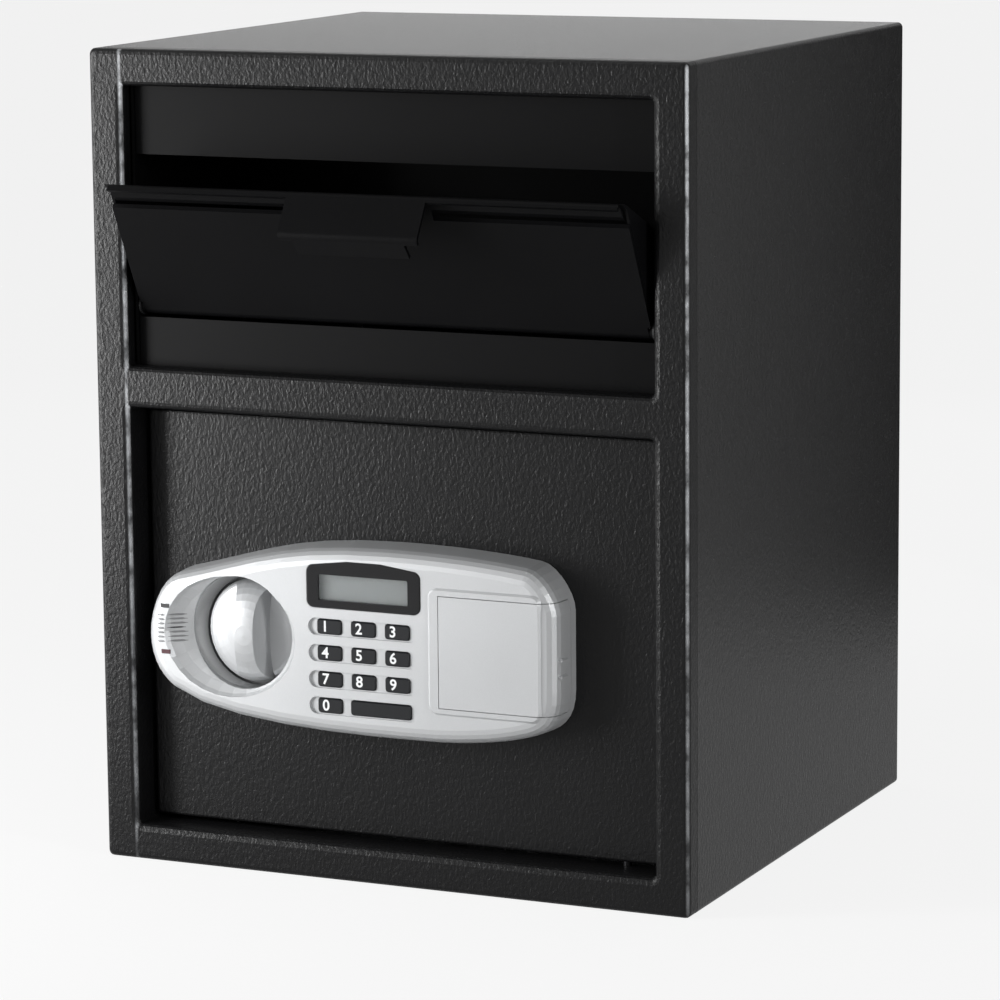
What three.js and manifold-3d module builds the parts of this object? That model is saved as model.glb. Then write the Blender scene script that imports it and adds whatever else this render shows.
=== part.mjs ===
// Drop safe with a tilting deposit drawer over a locked main compartment.
// Millimetres. X runs to the right, the front faces -Y, Z is up, and the origin is the centre of the base.

import * as THREE from "three";
import { mergeVertices } from "three/addons/utils/BufferGeometryUtils.js";
import Module from "manifold-3d";

const wasm = await Module();
wasm.setup();

// Carcass
const WIDTH = 350;
const DEPTH = 330;
const HEIGHT = 450;
const BODY_SHEET = 2;
const BODY_CORNER = 3;
const FRAME_RETURN = 12;
const BACK_INSET = 1.5;
const ANCHOR_RADIUS = 5;
const ANCHOR_SPACING_X = 200;
const ANCHOR_SPACING_Y = 160;
const ANCHOR_BACK_HEIGHT = 180;
const MAT_THICKNESS = 3;
const MAT_MARGIN = 4;
const MAT_CORNER = 8;

// Openings in the front
const STILE_WIDTH = 20;
const BOTTOM_RAIL = 20;
const MIDDLE_RAIL = 23;
const DRAWER_OPENING_HEIGHT = 153;
const TOP_RAIL = 20;
const OPENING_CORNER = 2;
const EDGE_ROLL = 4;
const DOOR_FLANGE = 23.5;
const DRAWER_FLANGE = 8.7;

// Fits
const TOUCH = 0.3;
const SLACK = 0.3;
const DOOR_GAP = 2.5;

// Drawer housing
const HOUSING_SHEET = 1.5;
const HOUSING_SIDE_GAP = 2.5;
const HOUSING_FROM_FACE = 9;
const HOUSING_DEPTH = 130;
const PLATE_SHEET = 2;
const MOUTH_GAP = 1.5;
const SILL_TOP_GAP = 1.5;
const SHELF_DROP = 7;
const SHELF_DEPTH = 98;
const BAFFLE_SETBACK = 6;
const BAFFLE_HEIGHT = 112;
const TOOTH_PITCH = 14;
const TOOTH_HEIGHT = 9;

// Deposit drawer, drawn shut about its hinge line
const DRAWER_SHEET = 2;
const DRAWER_SIDE_GAP = 1.8;
const DRAWER_HINGE_RISE = 32.5;
const DRAWER_FRONT_DEPTH = 10;
const DRAWER_OPEN_ANGLE = 27.5;
const DRAWER_FRONT_HEIGHT = 81.5;
const ROD_RADIUS = 2.2;
const CHEEK_SHEET = 1.5;
const CHEEK_HEEL = 6;
const TRAY_LENGTH = 85;
const TRAY_SLOPE = 20;
const TRAY_LIP = 8;
const LIP_SLOPE = 31;
const LIP_LENGTH = 5.5;
const LIP_BEND = 2.2;
const LIP_INSET = 2.5;
const TAB_WIDTH = 81;
const TAB_LENGTH = 27;
const TAB_BEND = 2.5;
const GRIP_WIDTH = 65;
const GRIP_LENGTH = 13;
const GRIP_SHOULDER = 2.8;
const GRIP_TUCK = 13;
const BUSH_WALL = 1;
const BUSH_FLANGE_RADIUS = 5.3;
const ROD_OVERHANG = 1.5;

// Door
const DOOR_RECESS = 18;
const DOOR_PLATE = 5;
const DOOR_EDGE = 1.5;
const HINGE_FROM_EDGE = 21.5;
const HINGE_BEHIND_FACE = 4;
const HINGE_PIN_RADIUS = 2.5;
const HINGE_PIN_SEAT = 18;
const HINGE_PIN_REACH = 8;
const EYE_SIZE = 22;
const EYE_PLATE = 4;

// Bolt work
const BOLT_RADIUS = 9;
const BOLT_LENGTH = 52;
const BOLT_SPACING = 105;
const BOLT_STROKE = 14;
const BOLT_BEHIND_FLANGE = 1;
const BOLT_RETRACT = 1.5;
const BOLT_CHAMFER = 2.5;
const GUIDE_PLATE = 4;
const GUIDE_INSET = 3.5;
const GUIDE_MARGIN = 7;
const CARRIAGE_PLATE = 3;
const SPINDLE_RADIUS = 4;
const CRANK_RADIUS = 11;
const CRANK_ANGLE = 40;
const CRANK_PIN_RADIUS = 2;
const CRANK_SLOT_SLACK = 0.7;
const CRANK_PLATE = 3;
const SOLENOID_SIZE = 19;
const SOLENOID_HEIGHT = 22;
const SOLENOID_TOP_GAP = 5;
const PLUNGER_RADIUS = 3.5;
const PLUNGER_LENGTH = 20;
const PLUNGER_SLACK = 0.6;
const PLUNGER_TRAVEL = 5;
const INNER_COVER_SHEET = 1.2;
const INNER_COVER_DEPTH = 35;
const INNER_COVER_LEFT = 14;
const INNER_COVER_WIDTH = 195;
const INNER_COVER_MARGIN = 3.2;
const INNER_COVER_CORNER = 6;
const COVER_NOTCH = 8;

// Lock unit; its outline is measured from the unit's own centre line
const LOCK_FROM_EDGE = 134.2;
const LOCK_DROP = 1;
const LOCK_LEFT = 127;
const LOCK_RIGHT = 121.7;
const LOCK_TOP = 51.3;
const LOCK_BOTTOM = 54.4;
const LOCK_TIP_DROP = 6.2;
const LOCK_HEIGHT = 24;
const LOCK_SIDE = 14;
const LOCK_ROUND = 8.5;
const LOCK_DRAFT = 0.8;
const LOCK_WALL = 3;
const CAVITY_LEFT = 28.2;
const CAVITY_RIGHT = 49.8;

const KNOB_X = -63.2;
const KNOB_Z = -1.5;
const KNOB_RADIUS = 29;
const KNOB_BASE = 8.3;
const KNOB_RIM = 11;
const KNOB_FLOOR = 15.5;
const KNOB_RISE = 4;
const KNOB_WAIST = 5.6;
const KNOB_FOOT = 12.5;
const KNOB_CLEARANCE = 1.5;
const KNOB_SOCKET = 10;
const BOWL_X = -73.7;
const BOWL_Z = -3.5;
const BOWL_HALF_WIDTH = 40.5;
const BOWL_HALF_HEIGHT = 34;
const BOWL_DEPTH = 14;
const WELL_X = -68.7;
const WELL_Z = -1.3;
const WELL_RADIUS = 31.8;
const WELL_TOP = 10.3;
const WELL_DEPTH = 13;

const DISPLAY_X = 7.9;
const DISPLAY_Z = 28.6;
const BEZEL_WIDTH = 67.6;
const BEZEL_HEIGHT = 23.2;
const BEZEL_ARCH = 2.9;
const BEZEL_CORNER = 4;
const BEZEL_PROUD = 0.8;
const BEZEL_SEAT = 1.6;
const WINDOW_WIDTH = 53.5;
const WINDOW_HEIGHT = 14;
const WINDOW_DROP = -0.3;
const WINDOW_GLASS = 1.4;
const DISPLAY_GLASS = 2.4;

const KEY_CENTRE_X = 7.1;
const KEY_COLUMN_PITCH = 20.25;
const KEY_TOP_ROW = 6.4;
const KEY_ROW_PITCH = 14.5;
const KEY_WIDTH = 14.5;
const KEY_DEPTH = 8;
const KEY_CORNER = 1.4;
const KEY_HEIGHT = 5;
const KEY_BELOW_FACE = 0.4;
const KEY_FLANGE = 1;
const KEY_TRAVEL = 1.2;
const ENTER_WIDTH = 36;
const PILL_WIDTH = 65;
const PILL_HEIGHT = 9.6;
const PILL_DEPTH = 1.5;
const KEY_MAT = 1.6;
const KEY_MAT_CORNER = 3;
const BOARD = 1.6;
const POST_RADIUS = 2.2;

const BAY_LEFT = 52.8;
const COVER_BOTTOM = -32.4;
const COVER_TOP = 28.2;
const COVER_SHEET = 2.2;
const COVER_SEAM = 0.4;
const COVER_SKIRT = 6;
const PAD_LEFT_MARGIN = 7;
const PAD_TOP_MARGIN = 5;
const PAD_BOTTOM_MARGIN = 4.5;
const PAD_HEIGHT = 1.2;
const PAD_CORNER = 6;
const CELL_RADIUS = 7.25;
const CELL_LENGTH = 50.5;
const CELL_NUB = 1.4;
const CELL_END_GAP = 0.6;
const CELL_COUNT = 4;
const BAY_CORNER_ROOM = 2;
const TRAY_FLOOR = 1.5;
const TRAY_WALL = 1.6;

// Places that follow from the sizes above
const FRONT = -DEPTH / 2;
const BACK = DEPTH / 2;
const INNER_X = WIDTH / 2 - BODY_SHEET;
const OPENING_WIDTH = WIDTH - 2 * STILE_WIDTH;
const DOOR_OPENING_HEIGHT = HEIGHT - TOP_RAIL - DRAWER_OPENING_HEIGHT - MIDDLE_RAIL - BOTTOM_RAIL;
const DOOR_OPENING_TOP = BOTTOM_RAIL + DOOR_OPENING_HEIGHT;
const DRAWER_OPENING_BOTTOM = DOOR_OPENING_TOP + MIDDLE_RAIL;
const OPENING_CENTRES = {
  door: BOTTOM_RAIL + DOOR_OPENING_HEIGHT / 2,
  drawer: DRAWER_OPENING_BOTTOM + DRAWER_OPENING_HEIGHT / 2,
};
const HOUSING_HALF_WIDTH = OPENING_WIDTH / 2 - HOUSING_SIDE_GAP;
const DRAWER_HALF_WIDTH = HOUSING_HALF_WIDTH - DRAWER_SIDE_GAP;
const HEM_RADIUS = ROD_RADIUS + SLACK + DRAWER_SHEET;
const HEM_MIDDLE_RADIUS = HEM_RADIUS - DRAWER_SHEET / 2;
const DRAWER_HINGE_Y = FRONT + DRAWER_FRONT_DEPTH + HEM_RADIUS;
const DRAWER_HINGE_Z = DRAWER_OPENING_BOTTOM + DRAWER_HINGE_RISE;
const DOOR_FACE = FRONT + DOOR_RECESS;
const DOOR_BACK = DOOR_FACE + DOOR_PLATE;
const DOOR_HALF_WIDTH = OPENING_WIDTH / 2 - DOOR_GAP;
const DOOR_BOTTOM = BOTTOM_RAIL + DOOR_GAP;
const DOOR_TOP = DOOR_OPENING_TOP - DOOR_GAP;
const DOOR_HINGE_X = DOOR_HALF_WIDTH - HINGE_FROM_EDGE;
const DOOR_HINGE_Y = DOOR_FACE + HINGE_BEHIND_FACE;
const BOLT_Y = FRONT + DOOR_FLANGE + BOLT_BEHIND_FLANGE + BOLT_RADIUS;
const LOCK_X = -DOOR_HALF_WIDTH + LOCK_FROM_EDGE;
const LOCK_Z = OPENING_CENTRES.door - LOCK_DROP;
const KNOB_WORLD = { x: LOCK_X + KNOB_X, z: LOCK_Z + KNOB_Z };
const LOCK_BACK = DOOR_FACE - TOUCH;
const KEY_COLUMNS = [-1, 0, 1].map((step) => KEY_CENTRE_X + step * KEY_COLUMN_PITCH);
const KEY_ROWS = [0, 1, 2, 3].map((step) => KEY_TOP_ROW - step * KEY_ROW_PITCH);

const radians = THREE.MathUtils.degToRad;

const powderCoat = new THREE.MeshStandardMaterial({ color: 0x1c1c1e, roughness: 0.55, metalness: 0.1 });
const satinSteel = new THREE.MeshStandardMaterial({ color: 0x151517, roughness: 0.4, metalness: 0.2 });
const plainSteel = new THREE.MeshStandardMaterial({ color: 0xa5a7aa, roughness: 0.35, metalness: 1 });
const silverPlastic = new THREE.MeshStandardMaterial({ color: 0xc9cbcc, roughness: 0.4, metalness: 0.35 });
const blackPlastic = new THREE.MeshStandardMaterial({ color: 0x111214, roughness: 0.3, metalness: 0 });
const keyRubber = new THREE.MeshStandardMaterial({ color: 0x26282b, roughness: 0.6, metalness: 0 });
const greyGlass = new THREE.MeshStandardMaterial({ color: 0x9a9d9f, roughness: 0.2, metalness: 0 });
const clearPlastic = new THREE.MeshStandardMaterial({ color: 0xd8dcde, roughness: 0.1, metalness: 0 });
const boardGreen = new THREE.MeshStandardMaterial({ color: 0x2c5f3d, roughness: 0.5, metalness: 0 });
const cellWrap = new THREE.MeshStandardMaterial({ color: 0x50565c, roughness: 0.4, metalness: 0.3 });
const nylon = new THREE.MeshStandardMaterial({ color: 0xdcdad2, roughness: 0.6, metalness: 0 });
const felt = new THREE.MeshStandardMaterial({ color: 0x3b3d40, roughness: 1, metalness: 0 });

const safe = new THREE.Group();

function place(name, shape, material, parent = safe) {
  const geometry = shape instanceof THREE.BufferGeometry ? shape : toGeometry(shape);
  const mesh = new THREE.Mesh(geometry, material);
  mesh.name = name;
  parent.add(mesh);
}

// Solids and booleans

function toSolid(shape) {
  if (!(shape instanceof THREE.BufferGeometry)) {
    return shape;
  }
  const bare = shape.clone();
  bare.deleteAttribute("normal");
  bare.deleteAttribute("uv");
  const merged = mergeVertices(bare, 1e-4);
  return new wasm.Manifold(new wasm.Mesh({
    numProp: 3,
    vertProperties: merged.attributes.position.array,
    triVerts: Uint32Array.from(merged.index.array),
  }));
}

function toGeometry(solid) {
  const mesh = solid.getMesh();
  const geometry = new THREE.BufferGeometry();
  geometry.setAttribute("position", new THREE.BufferAttribute(mesh.vertProperties, 3));
  geometry.setIndex(new THREE.BufferAttribute(mesh.triVerts, 1));
  geometry.computeVertexNormals();
  return geometry;
}

function fuse(first, ...rest) {
  return rest.reduce((solid, next) => solid.add(toSolid(next)), toSolid(first));
}

function cut(first, ...rest) {
  return rest.reduce((solid, next) => solid.subtract(toSolid(next)), toSolid(first));
}

function common(first, ...rest) {
  return rest.reduce((solid, next) => solid.intersect(toSolid(next)), toSolid(first));
}

// Basic forms, each placed by its limits along X, Y and Z

function block(x0, x1, y0, y1, z0, z1) {
  const box = new THREE.BoxGeometry(x1 - x0, y1 - y0, z1 - z0);
  return box.translate((x0 + x1) / 2, (y0 + y1) / 2, (z0 + z1) / 2);
}

const AXIS_TURNS = {
  x: new THREE.Matrix4().makeRotationZ(-Math.PI / 2),
  y: new THREE.Matrix4(),
  z: new THREE.Matrix4().makeRotationX(Math.PI / 2),
};

function rod(axis, radius, from, to, a, b, sides = 24) {
  const centre = (from + to) / 2;
  const places = { x: [centre, a, b], y: [a, centre, b], z: [a, b, centre] };
  const cylinder = new THREE.CylinderGeometry(radius, radius, to - from, sides);
  return cylinder.applyMatrix4(AXIS_TURNS[axis]).translate(...places[axis]);
}

// A shape's points, without the doubled ones where its curves meet
function outlinePoints(shape, curveSegments) {
  const points = shape.getPoints(curveSegments);
  return points.filter((point, i) => point.distanceTo(points.at(i - 1)) > 1e-3);
}

function extrude(shape, depth, curveSegments) {
  const outline = new THREE.Shape(outlinePoints(shape, curveSegments));
  outline.holes = shape.holes.map((hole) => new THREE.Path(outlinePoints(hole, curveSegments)));
  return new THREE.ExtrudeGeometry(outline, { depth, bevelEnabled: false });
}

// A shape drawn in X and Z, extruded from the front towards the back
function frontPlate(shape, y0, y1, curveSegments = 8) {
  return extrude(shape, y1 - y0, curveSegments).rotateX(Math.PI / 2).translate(0, y1, 0);
}

const SIDE_TURN = new THREE.Matrix4().makeBasis(
  new THREE.Vector3(0, 1, 0),
  new THREE.Vector3(0, 0, 1),
  new THREE.Vector3(1, 0, 0),
);

// A shape drawn in Y and Z, extruded along X
function sidePlate(shape, x0, x1, curveSegments = 8) {
  return extrude(shape, x1 - x0, curveSegments).applyMatrix4(SIDE_TURN).translate(x0, 0, 0);
}

function floorPlate(shape, z0, z1, curveSegments = 8) {
  return extrude(shape, z1 - z0, curveSegments).translate(0, 0, z0);
}

function roundedRectangle(x0, x1, z0, z1, radius) {
  const shape = new THREE.Shape();
  shape.moveTo(x0 + radius, z0);
  shape.lineTo(x1 - radius, z0);
  shape.absarc(x1 - radius, z0 + radius, radius, -Math.PI / 2, 0);
  shape.lineTo(x1, z1 - radius);
  shape.absarc(x1 - radius, z1 - radius, radius, 0, Math.PI / 2);
  shape.lineTo(x0 + radius, z1);
  shape.absarc(x0 + radius, z1 - radius, radius, Math.PI / 2, Math.PI);
  shape.lineTo(x0, z0 + radius);
  shape.absarc(x0 + radius, z0 + radius, radius, Math.PI, Math.PI * 1.5);
  return shape;
}

// A closed outline in X and Z moved outwards by a distance, corner by corner
function offsetOutline(outline, distance) {
  return outline.map((point, i) => {
    const before = outline[(i + outline.length - 1) % outline.length];
    const after = outline[(i + 1) % outline.length];
    const along = after.clone().sub(before).normalize();
    return new THREE.Vector2(point.x + along.y * distance, point.y - along.x * distance);
  });
}

// Joins rings of equal count, listed from the front to the back, and caps both ends
function loftFrontToBack(rings) {
  const count = rings[0].outline.length;
  const positions = [];
  for (const ring of rings) {
    for (const point of ring.outline) {
      positions.push(point.x, ring.y, point.y);
    }
  }
  const faces = [];
  for (let r = 0; r + 1 < rings.length; r += 1) {
    for (let i = 0; i < count; i += 1) {
      const next = (i + 1) % count;
      const a = r * count + i;
      const b = r * count + next;
      faces.push(a, a + count, b, b, a + count, b + count);
    }
  }
  for (const [a, b, c] of THREE.ShapeUtils.triangulateShape(rings[0].outline, [])) {
    faces.push(a, b, c);
  }
  const last = (rings.length - 1) * count;
  for (const [a, b, c] of THREE.ShapeUtils.triangulateShape(rings.at(-1).outline, [])) {
    faces.push(last + a, last + c, last + b);
  }
  const geometry = new THREE.BufferGeometry();
  geometry.setAttribute("position", new THREE.Float32BufferAttribute(positions, 3));
  geometry.setIndex(faces);
  return geometry;
}

// A line in Y and Z with its corners rounded, each by the bend listed for it
function bentLine(corners, bends, steps = 5) {
  const line = [corners[0]];
  bends.forEach((bend, i) => {
    const corner = corners[i + 1];
    const towards = corners[i].clone().sub(corner).normalize();
    const away = corners[i + 2].clone().sub(corner).normalize();
    const half = Math.acos(THREE.MathUtils.clamp(towards.dot(away), -1, 1)) / 2;
    const reach = bend / Math.tan(half);
    const centre = towards.clone().add(away).normalize().multiplyScalar(bend / Math.sin(half)).add(corner);
    const start = towards.multiplyScalar(reach).add(corner).sub(centre);
    const end = away.multiplyScalar(reach).add(corner).sub(centre);
    const turn = Math.atan2(start.cross(end), start.dot(end));
    for (let k = 0; k <= steps; k += 1) {
      line.push(start.clone().rotateAround(new THREE.Vector2(), turn * k / steps).add(centre));
    }
  });
  line.push(corners.at(-1));
  return line;
}

// The outline of a strip with the given thickness about a line
function ribbon(line, thickness) {
  const left = [];
  const right = [];
  line.forEach((point, i) => {
    const before = line[Math.max(i - 1, 0)];
    const after = line[Math.min(i + 1, line.length - 1)];
    const along = after.clone().sub(before).normalize();
    const side = new THREE.Vector2(-along.y, along.x).multiplyScalar(thickness / 2);
    left.push(point.clone().add(side));
    right.push(point.clone().sub(side));
  });
  return new THREE.Shape([...left, ...right.reverse()]);
}

// An edge with saw teeth from one end to the other, for a shape in X and the other axis
function sawEdge(halfWidth, base, tip) {
  const count = Math.floor(2 * halfWidth / TOOTH_PITCH);
  const margin = halfWidth - count * TOOTH_PITCH / 2;
  const points = [new THREE.Vector2(halfWidth, base)];
  for (let i = 0; i < count; i += 1) {
    const x = halfWidth - margin - i * TOOTH_PITCH;
    points.push(new THREE.Vector2(x, base));
    points.push(new THREE.Vector2(x - TOOTH_PITCH / 2, tip));
  }
  points.push(new THREE.Vector2(margin - halfWidth, base));
  points.push(new THREE.Vector2(-halfWidth, base));
  return points;
}

// Carcass

function bodyWrap() {
  const outside = roundedRectangle(-WIDTH / 2, WIDTH / 2, 0, HEIGHT, BODY_CORNER);
  const inside = roundedRectangle(-INNER_X, INNER_X, BODY_SHEET, HEIGHT - BODY_SHEET,
    BODY_CORNER - BODY_SHEET);
  outside.holes.push(inside);
  const tube = frontPlate(outside, FRONT + FRAME_RETURN + TOUCH, BACK, 4);
  const anchors = anchorPlaces().map(([x, y]) => rod("z", ANCHOR_RADIUS, -1, BODY_SHEET + 1, x, y));
  return cut(tube, ...anchors);
}

function anchorPlaces() {
  return [-1, 1].map((side) => [side * ANCHOR_SPACING_X / 2, ANCHOR_SPACING_Y / 2]);
}

// A rounded rectangle's points, with the same count whatever its size
function rectangleRing(halfWidth, z0, z1, radius, y) {
  return { outline: outlinePoints(roundedRectangle(-halfWidth, halfWidth, z0, z1, radius), 2), y };
}

function frameBlock(inset, y0, y1) {
  const steps = 3;
  const roll = BODY_CORNER - inset;
  const rings = [];
  for (let k = 0; k <= steps; k += 1) {
    const turn = Math.PI / 2 * k / steps;
    const tuck = inset + roll * (1 - Math.sin(turn));
    const corner = BODY_CORNER - inset + 0.01;
    const y = y0 + roll * (1 - Math.cos(turn));
    rings.push(rectangleRing(WIDTH / 2 - tuck, tuck, HEIGHT - tuck, corner, y));
  }
  rings.push(rectangleRing(WIDTH / 2 - inset, inset, HEIGHT - inset, BODY_CORNER - inset + 0.01, y1));
  return loftFrontToBack(rings);
}

function openingCollar(z0, z1, flange) {
  const ring = (grow, depth) => rectangleRing(
    OPENING_WIDTH / 2 + grow, z0 - grow, z1 + grow, OPENING_CORNER + grow, FRONT + depth,
  );
  return loftFrontToBack([
    ring(EDGE_ROLL + BODY_SHEET / 2, BODY_SHEET / 2),
    ring(EDGE_ROLL + BODY_SHEET / 2, BODY_SHEET),
    ring(BODY_SHEET, EDGE_ROLL + BODY_SHEET / 2),
    ring(BODY_SHEET, flange),
  ]);
}

function openingCutter(z0, z1, flange) {
  const steps = 4;
  const rings = [rectangleRing(OPENING_WIDTH / 2 + EDGE_ROLL, z0 - EDGE_ROLL, z1 + EDGE_ROLL,
    OPENING_CORNER + EDGE_ROLL, FRONT - 1)];
  for (let k = 0; k <= steps; k += 1) {
    const turn = Math.PI / 2 * k / steps;
    const grow = EDGE_ROLL * (1 - Math.sin(turn));
    const depth = EDGE_ROLL * (1 - Math.cos(turn));
    rings.push(rectangleRing(OPENING_WIDTH / 2 + grow, z0 - grow, z1 + grow,
      OPENING_CORNER + grow, FRONT + depth));
  }
  rings.push(rectangleRing(OPENING_WIDTH / 2, z0, z1, OPENING_CORNER, FRONT + flange + 1));
  return loftFrontToBack(rings);
}

function frontFrame() {
  const pan = cut(
    frameBlock(0, FRONT, FRONT + FRAME_RETURN),
    frameBlock(BODY_SHEET, FRONT + BODY_SHEET, FRONT + FRAME_RETURN + 1),
  );
  const openings = [
    [BOTTOM_RAIL, DOOR_OPENING_TOP, DOOR_FLANGE],
    [DRAWER_OPENING_BOTTOM, DRAWER_OPENING_BOTTOM + DRAWER_OPENING_HEIGHT, DRAWER_FLANGE],
  ];
  const collared = fuse(pan, ...openings.map((opening) => openingCollar(...opening)));
  const opened = cut(collared, ...openings.map((opening) => openingCutter(...opening)));
  const pinHole = rod("z", HINGE_PIN_RADIUS + SLACK, BOTTOM_RAIL - EDGE_ROLL, DOOR_OPENING_TOP + EDGE_ROLL,
    DOOR_HINGE_X, DOOR_HINGE_Y);
  return cut(opened, pinHole);
}

function backPanel() {
  const edge = BODY_SHEET + TOUCH;
  const outline = roundedRectangle(-WIDTH / 2 + edge, WIDTH / 2 - edge, edge, HEIGHT - edge, 1);
  const plate = frontPlate(outline, BACK - BACK_INSET - BODY_SHEET, BACK - BACK_INSET, 2);
  const holes = [-1, 1].map((side) => rod("y", ANCHOR_RADIUS, BACK - 6, BACK + 1,
    side * ANCHOR_SPACING_X / 2, ANCHOR_BACK_HEIGHT));
  return cut(plate, ...holes);
}

function floorMat() {
  const reach = INNER_X - MAT_MARGIN;
  const z = BODY_SHEET + TOUCH;
  const front = FRONT + DOOR_FLANGE + MAT_MARGIN;
  const back = BACK - BACK_INSET - BODY_SHEET - MAT_MARGIN;
  const mat = floorPlate(roundedRectangle(-reach, reach, front, back, MAT_CORNER), z, z + MAT_THICKNESS, 3);
  const holes = anchorPlaces().map(([x, y]) => rod("z", ANCHOR_RADIUS + 1, 0, z + MAT_THICKNESS + 1, x, y));
  return cut(mat, ...holes);
}

place("body_wrap", bodyWrap(), powderCoat);
place("front_frame", frontFrame(), powderCoat);
place("back_panel", backPanel(), powderCoat);
place("floor_mat", floorMat(), felt);

// Drawer housing

const HOUSING_FRONT = FRONT + HOUSING_FROM_FACE;
const PLATE_FRONT = FRONT + DRAWER_FRONT_DEPTH;
const HOUSING_TOP = HEIGHT - BODY_SHEET - TOUCH;
const SHELF_TOP = DRAWER_OPENING_BOTTOM - SHELF_DROP;
const SHELF_UNDERSIDE = SHELF_TOP - HOUSING_SHEET;
const BUSH_RADIUS = ROD_RADIUS + SLACK + BUSH_WALL;
const PLATE_HALF_WIDTH = HOUSING_HALF_WIDTH - TOUCH;

function hopperSide(side) {
  const outline = new THREE.Shape([
    new THREE.Vector2(HOUSING_FRONT, SHELF_UNDERSIDE),
    new THREE.Vector2(FRONT + HOUSING_DEPTH, SHELF_UNDERSIDE),
    new THREE.Vector2(FRONT + HOUSING_DEPTH, HOUSING_TOP),
    new THREE.Vector2(HOUSING_FRONT, HOUSING_TOP),
  ]);
  const hole = new THREE.Path();
  hole.absarc(DRAWER_HINGE_Y, DRAWER_HINGE_Z, BUSH_RADIUS + SLACK, 0, Math.PI * 2, true);
  outline.holes.push(hole);
  const inner = side * HOUSING_HALF_WIDTH;
  const outer = side * (HOUSING_HALF_WIDTH + HOUSING_SHEET);
  return sidePlate(outline, Math.min(inner, outer), Math.max(inner, outer), 12);
}

function upperFascia() {
  const bottom = DRAWER_HINGE_Z + DRAWER_FRONT_HEIGHT + MOUTH_GAP;
  return block(-PLATE_HALF_WIDTH, PLATE_HALF_WIDTH, PLATE_FRONT + TOUCH, PLATE_FRONT + PLATE_SHEET + TOUCH,
    bottom, HOUSING_TOP);
}

function sillPlate() {
  const top = DRAWER_HINGE_Z - HEM_RADIUS - SILL_TOP_GAP;
  return block(-PLATE_HALF_WIDTH, PLATE_HALF_WIDTH, PLATE_FRONT + TOUCH, PLATE_FRONT + PLATE_SHEET + TOUCH,
    SHELF_TOP + TOUCH, top);
}

// The shelf stops short of the baffle; its rear edge is sawn so that nothing can be drawn back over it
function hopperShelf() {
  const rear = FRONT + SHELF_DEPTH;
  const front = FRONT + BODY_SHEET + TOUCH;
  const outline = new THREE.Shape([
    new THREE.Vector2(-PLATE_HALF_WIDTH, front),
    new THREE.Vector2(PLATE_HALF_WIDTH, front),
    ...sawEdge(PLATE_HALF_WIDTH, rear - TOOTH_HEIGHT, rear),
  ]);
  return floorPlate(outline, SHELF_UNDERSIDE, SHELF_TOP);
}

function fishingBaffle() {
  const bottom = HOUSING_TOP - BAFFLE_HEIGHT;
  const outline = new THREE.Shape([
    new THREE.Vector2(-PLATE_HALF_WIDTH, HOUSING_TOP),
    ...sawEdge(PLATE_HALF_WIDTH, bottom + TOOTH_HEIGHT, bottom).reverse().slice(0, -1),
    new THREE.Vector2(PLATE_HALF_WIDTH, bottom + TOOTH_HEIGHT),
    new THREE.Vector2(PLATE_HALF_WIDTH, HOUSING_TOP),
  ]);
  const plane = FRONT + HOUSING_DEPTH - BAFFLE_SETBACK;
  return frontPlate(outline, plane, plane + HOUSING_SHEET);
}

// A flanged bush: the sleeve lies in the housing's side, the flange between that side and the drawer
function drawerBush(side) {
  const inner = DRAWER_HALF_WIDTH + TOUCH;
  const seat = HOUSING_HALF_WIDTH - TOUCH;
  const bore = ROD_RADIUS + SLACK;
  const end = HOUSING_HALF_WIDTH + HOUSING_SHEET;
  const profile = [
    [bore, inner],
    [BUSH_FLANGE_RADIUS, inner],
    [BUSH_FLANGE_RADIUS, seat],
    [BUSH_RADIUS, seat],
    [BUSH_RADIUS, end],
    [bore, end],
    [bore, inner],
  ].map(([radius, x]) => new THREE.Vector2(radius, x));
  const bush = new THREE.LatheGeometry(profile, 20);
  return bush.rotateZ(side * -Math.PI / 2).translate(0, DRAWER_HINGE_Y, DRAWER_HINGE_Z);
}

place("hopper_side_left", hopperSide(-1), powderCoat);
place("hopper_side_right", hopperSide(1), powderCoat);
place("upper_fascia", upperFascia(), powderCoat);
place("sill_plate", sillPlate(), powderCoat);
place("hopper_shelf", hopperShelf(), powderCoat);
place("fishing_baffle", fishingBaffle(), powderCoat);
place("drawer_bush_left", drawerBush(-1), nylon);
place("drawer_bush_right", drawerBush(1), nylon);

// Deposit drawer: drawn shut with its hinge line at the origin, then tilted open as it stands

const drawer = new THREE.Group();
drawer.position.set(0, DRAWER_HINGE_Y, DRAWER_HINGE_Z);
drawer.rotation.x = radians(DRAWER_OPEN_ANGLE);
safe.add(drawer);

const PANEL_Y = -HEM_MIDDLE_RADIUS;
const PANEL_BACK = PANEL_Y + DRAWER_SHEET / 2;
const CHEEK_INNER = DRAWER_HALF_WIDTH - CHEEK_SHEET;

// A block square to the sloping lip, from a distance beyond its bend and to a depth below it
function beyondLip(corner, distance, below, x0, x1) {
  return block(x0, x1, -2 * TAB_LENGTH - distance, -distance, -below, TAB_LENGTH / 2)
    .rotateX(radians(LIP_SLOPE))
    .translate(0, corner.x, corner.y);
}

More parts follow.
